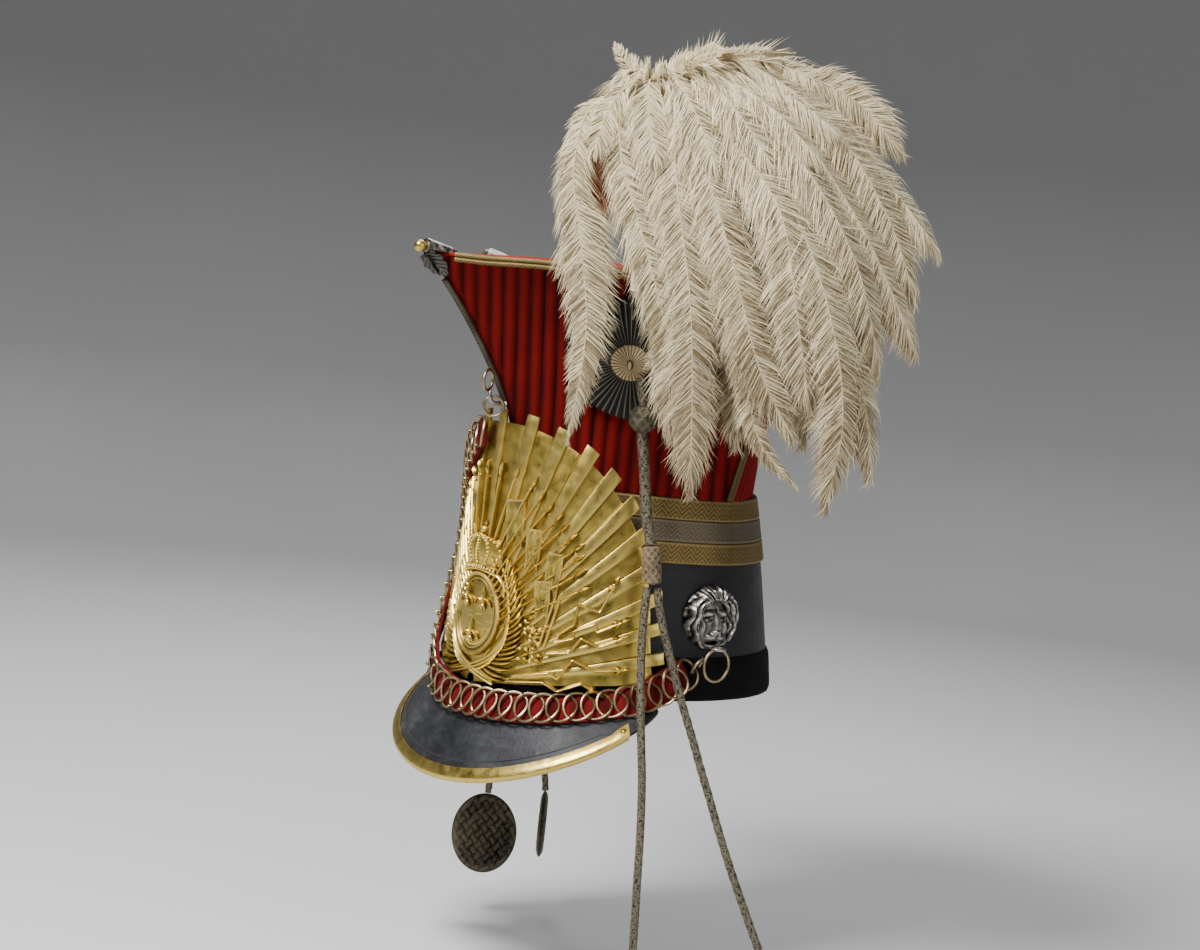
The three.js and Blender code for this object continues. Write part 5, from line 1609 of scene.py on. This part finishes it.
def sweep(quill, u, hand, length, lean, curl, droop, lift, spots):
    """Places and headings at the spots along curved barbs rooted at u on one hand of the quill."""
    spot, tangent, side, up = [along(rows, u) for rows in quill]
    last = 0.0
    made = []
    for t in spots:
        angle = lean - curl * t
        heading = unit(tangent) * np.cos(angle)[:, None] + unit(side) * (hand * np.sin(angle))[:, None]
        heading = heading + unit(up) * (lift - droop * 1.5 * t)[:, None]
        heading[:, 2] -= 0.1 * t
        heading = unit(heading)
        spot = spot + heading * (length * (t - last))[:, None]
        last = t
        made.append((spot, heading))
    return made, unit(up)


def shade_web(shape, quill, widths, hand):
    """Thin dark web under the barbs, a little shorter than they are: painted shade that shows in the gaps between
    barbs.
    """
    u = np.linspace(0.03, 0.97, 44)
    even = np.ones(len(u))
    made, up = sweep(quill, u, hand, 0.66 * spread(u, widths), lean_at(u), even * BARB_CURL, even * 0.62,
                     even * 0.12, (0, 0.3, 0.6, 0.85, 1))

    def at(i, k):
        spot = made[k][0][i]
        # Dark tints: painted shade under the barbs
        return Vector(spot - 0.5 * up[i]), Vector(spot - 0.9 * up[i]), 0.1 + 0.07 * k

    shape.relief(range(len(u)), range(len(made)), at)


def barbs(shape, quill, widths, hand, run):
    """Pointed three-sided barbs, bent once."""
    count = int(run * BARBS_PER_MM)
    u = np.sort(chance.uniform(0.02, 1.0, count))
    knots = max(4, int(run / 6))
    clump = np.interp(u, np.linspace(0, 1, knots), chance.uniform(-1, 1, knots))
    length = spread(u, widths) * (1 + 0.06 * clump + chance.normal(0, 0.05, count))
    lean = lean_at(u) + 0.07 * clump + chance.normal(0, 0.07, count)
    curl = BARB_CURL + chance.normal(0, 0.14, count)
    droop = 0.5 + 0.2 * chance.random(count) + 0.05 * clump
    lift = chance.normal(0.2, 0.11, count)
    made, up = sweep(quill, u, hand, length, lean, curl, droop, lift, (0, 0.5, 1))
    corners = []
    for (spot, heading), half in zip(made, BARB_HALVES):
        flat = unit(np.cross(heading, up)) * half
        corners += [spot + flat, spot - flat, spot + up * half * 0.6]
    tips = made[-1][0]
    # Painted shade on the lower ends, on top of the random tone of each barb and clump
    low = np.clip((SHADE_BELOW - made[0][0][:, 2]) / SHADE_FALL, 0, 1)
    shade = np.clip(chance.uniform(0.35, 1.3, count) + 0.25 * clump - LOWER_SHADE * low, 0, 1)
    first = shape.add(np.stack(corners + [tips], 1), np.outer(shade, BARB_TINTS).tolist())
    for base in range(first, len(shape.points), len(BARB_TINTS)):
        shape.faces.append((base + 2, base + 1, base))
        for c, d in ((0, 1), (1, 2), (2, 0)):
            shape.faces.append((base + c, base + d, base + 3 + d, base + 3 + c))
            shape.faces.append((base + 3 + c, base + 3 + d, base + 6))


def feather(shape, route, widths, facing):
    """A thin shaft with a web and a row of barbs on each hand, arched like a roof."""
    path = spline([side_point(p) for p in route], 60)
    points = np.array(path)
    tangents = unit(np.gradient(points, axis=0))
    turn = math.radians(facing)
    sideways = np.array(side_point((-math.sin(turn), math.cos(turn), 0)))
    sides = unit(sideways - tangents * (tangents @ sideways)[:, None])
    ups = np.cross(sides, tangents)
    away = points - np.array(CAP_MIDDLE)
    ups *= np.sign((ups * away).sum(1))[:, None]
    quill = (points, tangents, sides, ups)
    shape.tube(path, lambda share: 0.6 - 0.4 * share, 6, tint=0.45)
    for hand in (-1, 1):
        shade_web(shape, quill, widths, hand)
        barbs(shape, quill, widths, hand, length_of(path))


STEM = [(-10, 125.2, 236), (-10.5, 125.2, 288), (-12, 125.2, 338)]
# Share of the socket's length and radius there
SOCKET = [(0, 3.4), (0.06, 5), (0.3, 7), (0.55, 7.4), (0.8, 6.2), (0.95, 4.4), (1, 3.4)]


def stem_and_socket():
    stem = Shape()
    path = spline([side_point(p) for p in STEM], 60)
    stem.tube(path, 3, 20, lambda run, angle: 1 + 0.07 * math.sin(TAU * run / 4 + angle))
    piece("stem_wrapped", stem, PEACH, "gold_lace", ("plume_stem",))
    socket = Shape()
    socket.tube(path[8:34], lambda share: table(SOCKET, share), 40, woven(8, TAU / 7))
    piece("plume_socket", socket, GOLD, "gold_lace")


def plume():
    sides = (FRONT_FEATHERS, RIGHT_FEATHERS, UNDER_FEATHERS)
    groups = [part for rows in sides for part in (rows[:4], rows[4:])]
    for number, group in enumerate(groups, 1):
        shape = Shape()
        for route, widths, facing in group:
            feather(shape, [PLUME_ROOT, *route], widths, facing)
        piece(f"feathers_{number}", shape, FEATHER, "feather", ("plume",) if number == 1 else ())


stem_and_socket()
plume()


# Floor that curves up into a round backdrop, and light
FLOOR_Z = -175
BACKDROP = [(1, 0), (600, 0), (1400, 0), (2000, 0), (2300, 60), (2500, 260), (2580, 700), (2600, 2400)]
FLOOR_GREYS = [(0.06, 0.62), (0.25, 0.36), (0.6, 0.2)]
# Name, turn and rise in degrees, distance and size in metres, and power
LIGHTS = [("key", 12, 48, 1.6, 0.6, 56), ("fill", 95, 20, 1.8, 1.2, 9), ("back", 235, 50, 1.6, 0.8, 16)]
LIGHTS_AIM_AT = Vector((0, 0, 0.12))
SKY_COLOUR = (0.9, 0.93, 1.0, 1)
SKY_STRENGTH = 0.16


def stage():
    shape = Shape()
    rows = [[(radius * a, radius * b, FLOOR_Z + up) for a, b in circle(96)] for radius, up in BACKDROP]
    shape.grid(rows, 1.0, round_columns=True)
    paint = Paint("pale_floor", Roughness=0.8)
    height = paint.node("SeparateXYZ", None, Vector=paint.place()).outputs["Z"]
    height = paint.node("Math", {"operation": "MULTIPLY_ADD", 1: 0.8, 2: 0.2}, _0=height).outputs[0]
    paint.set("Base Color", paint.ramp(paint.sum(height, paint.grain(3, 3), 0.06), FLOOR_GREYS))
    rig.stage(mesh_object("floor", shape, paint.material))


def light():
    for name, turn, rise, distance, size, power in LIGHTS:
        lamp = bpy.data.objects.new(name, bpy.data.lights.new(name, "AREA"))
        lamp.data.size = size
        lamp.data.energy = power
        away = sky(turn, rise)
        aim = away.to_track_quat("Z", "Y").to_matrix().to_4x4()
        lamp.matrix_world = Matrix.Translation(away * distance + LIGHTS_AIM_AT) @ aim
        bpy.context.collection.objects.link(lamp)
    world = bpy.data.worlds.new("studio")
    world.use_nodes = True
    background = world.node_tree.nodes["Background"]
    background.inputs["Color"].default_value = SKY_COLOUR
    background.inputs["Strength"].default_value = SKY_STRENGTH
    bpy.context.scene.world = world


stage()
light()

with open("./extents.json", "w") as file:
    json.dump({"cad": [list(map(float, p)) for p in cad_box], "visual": [list(map(float, p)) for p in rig.bounds()]},
              file)
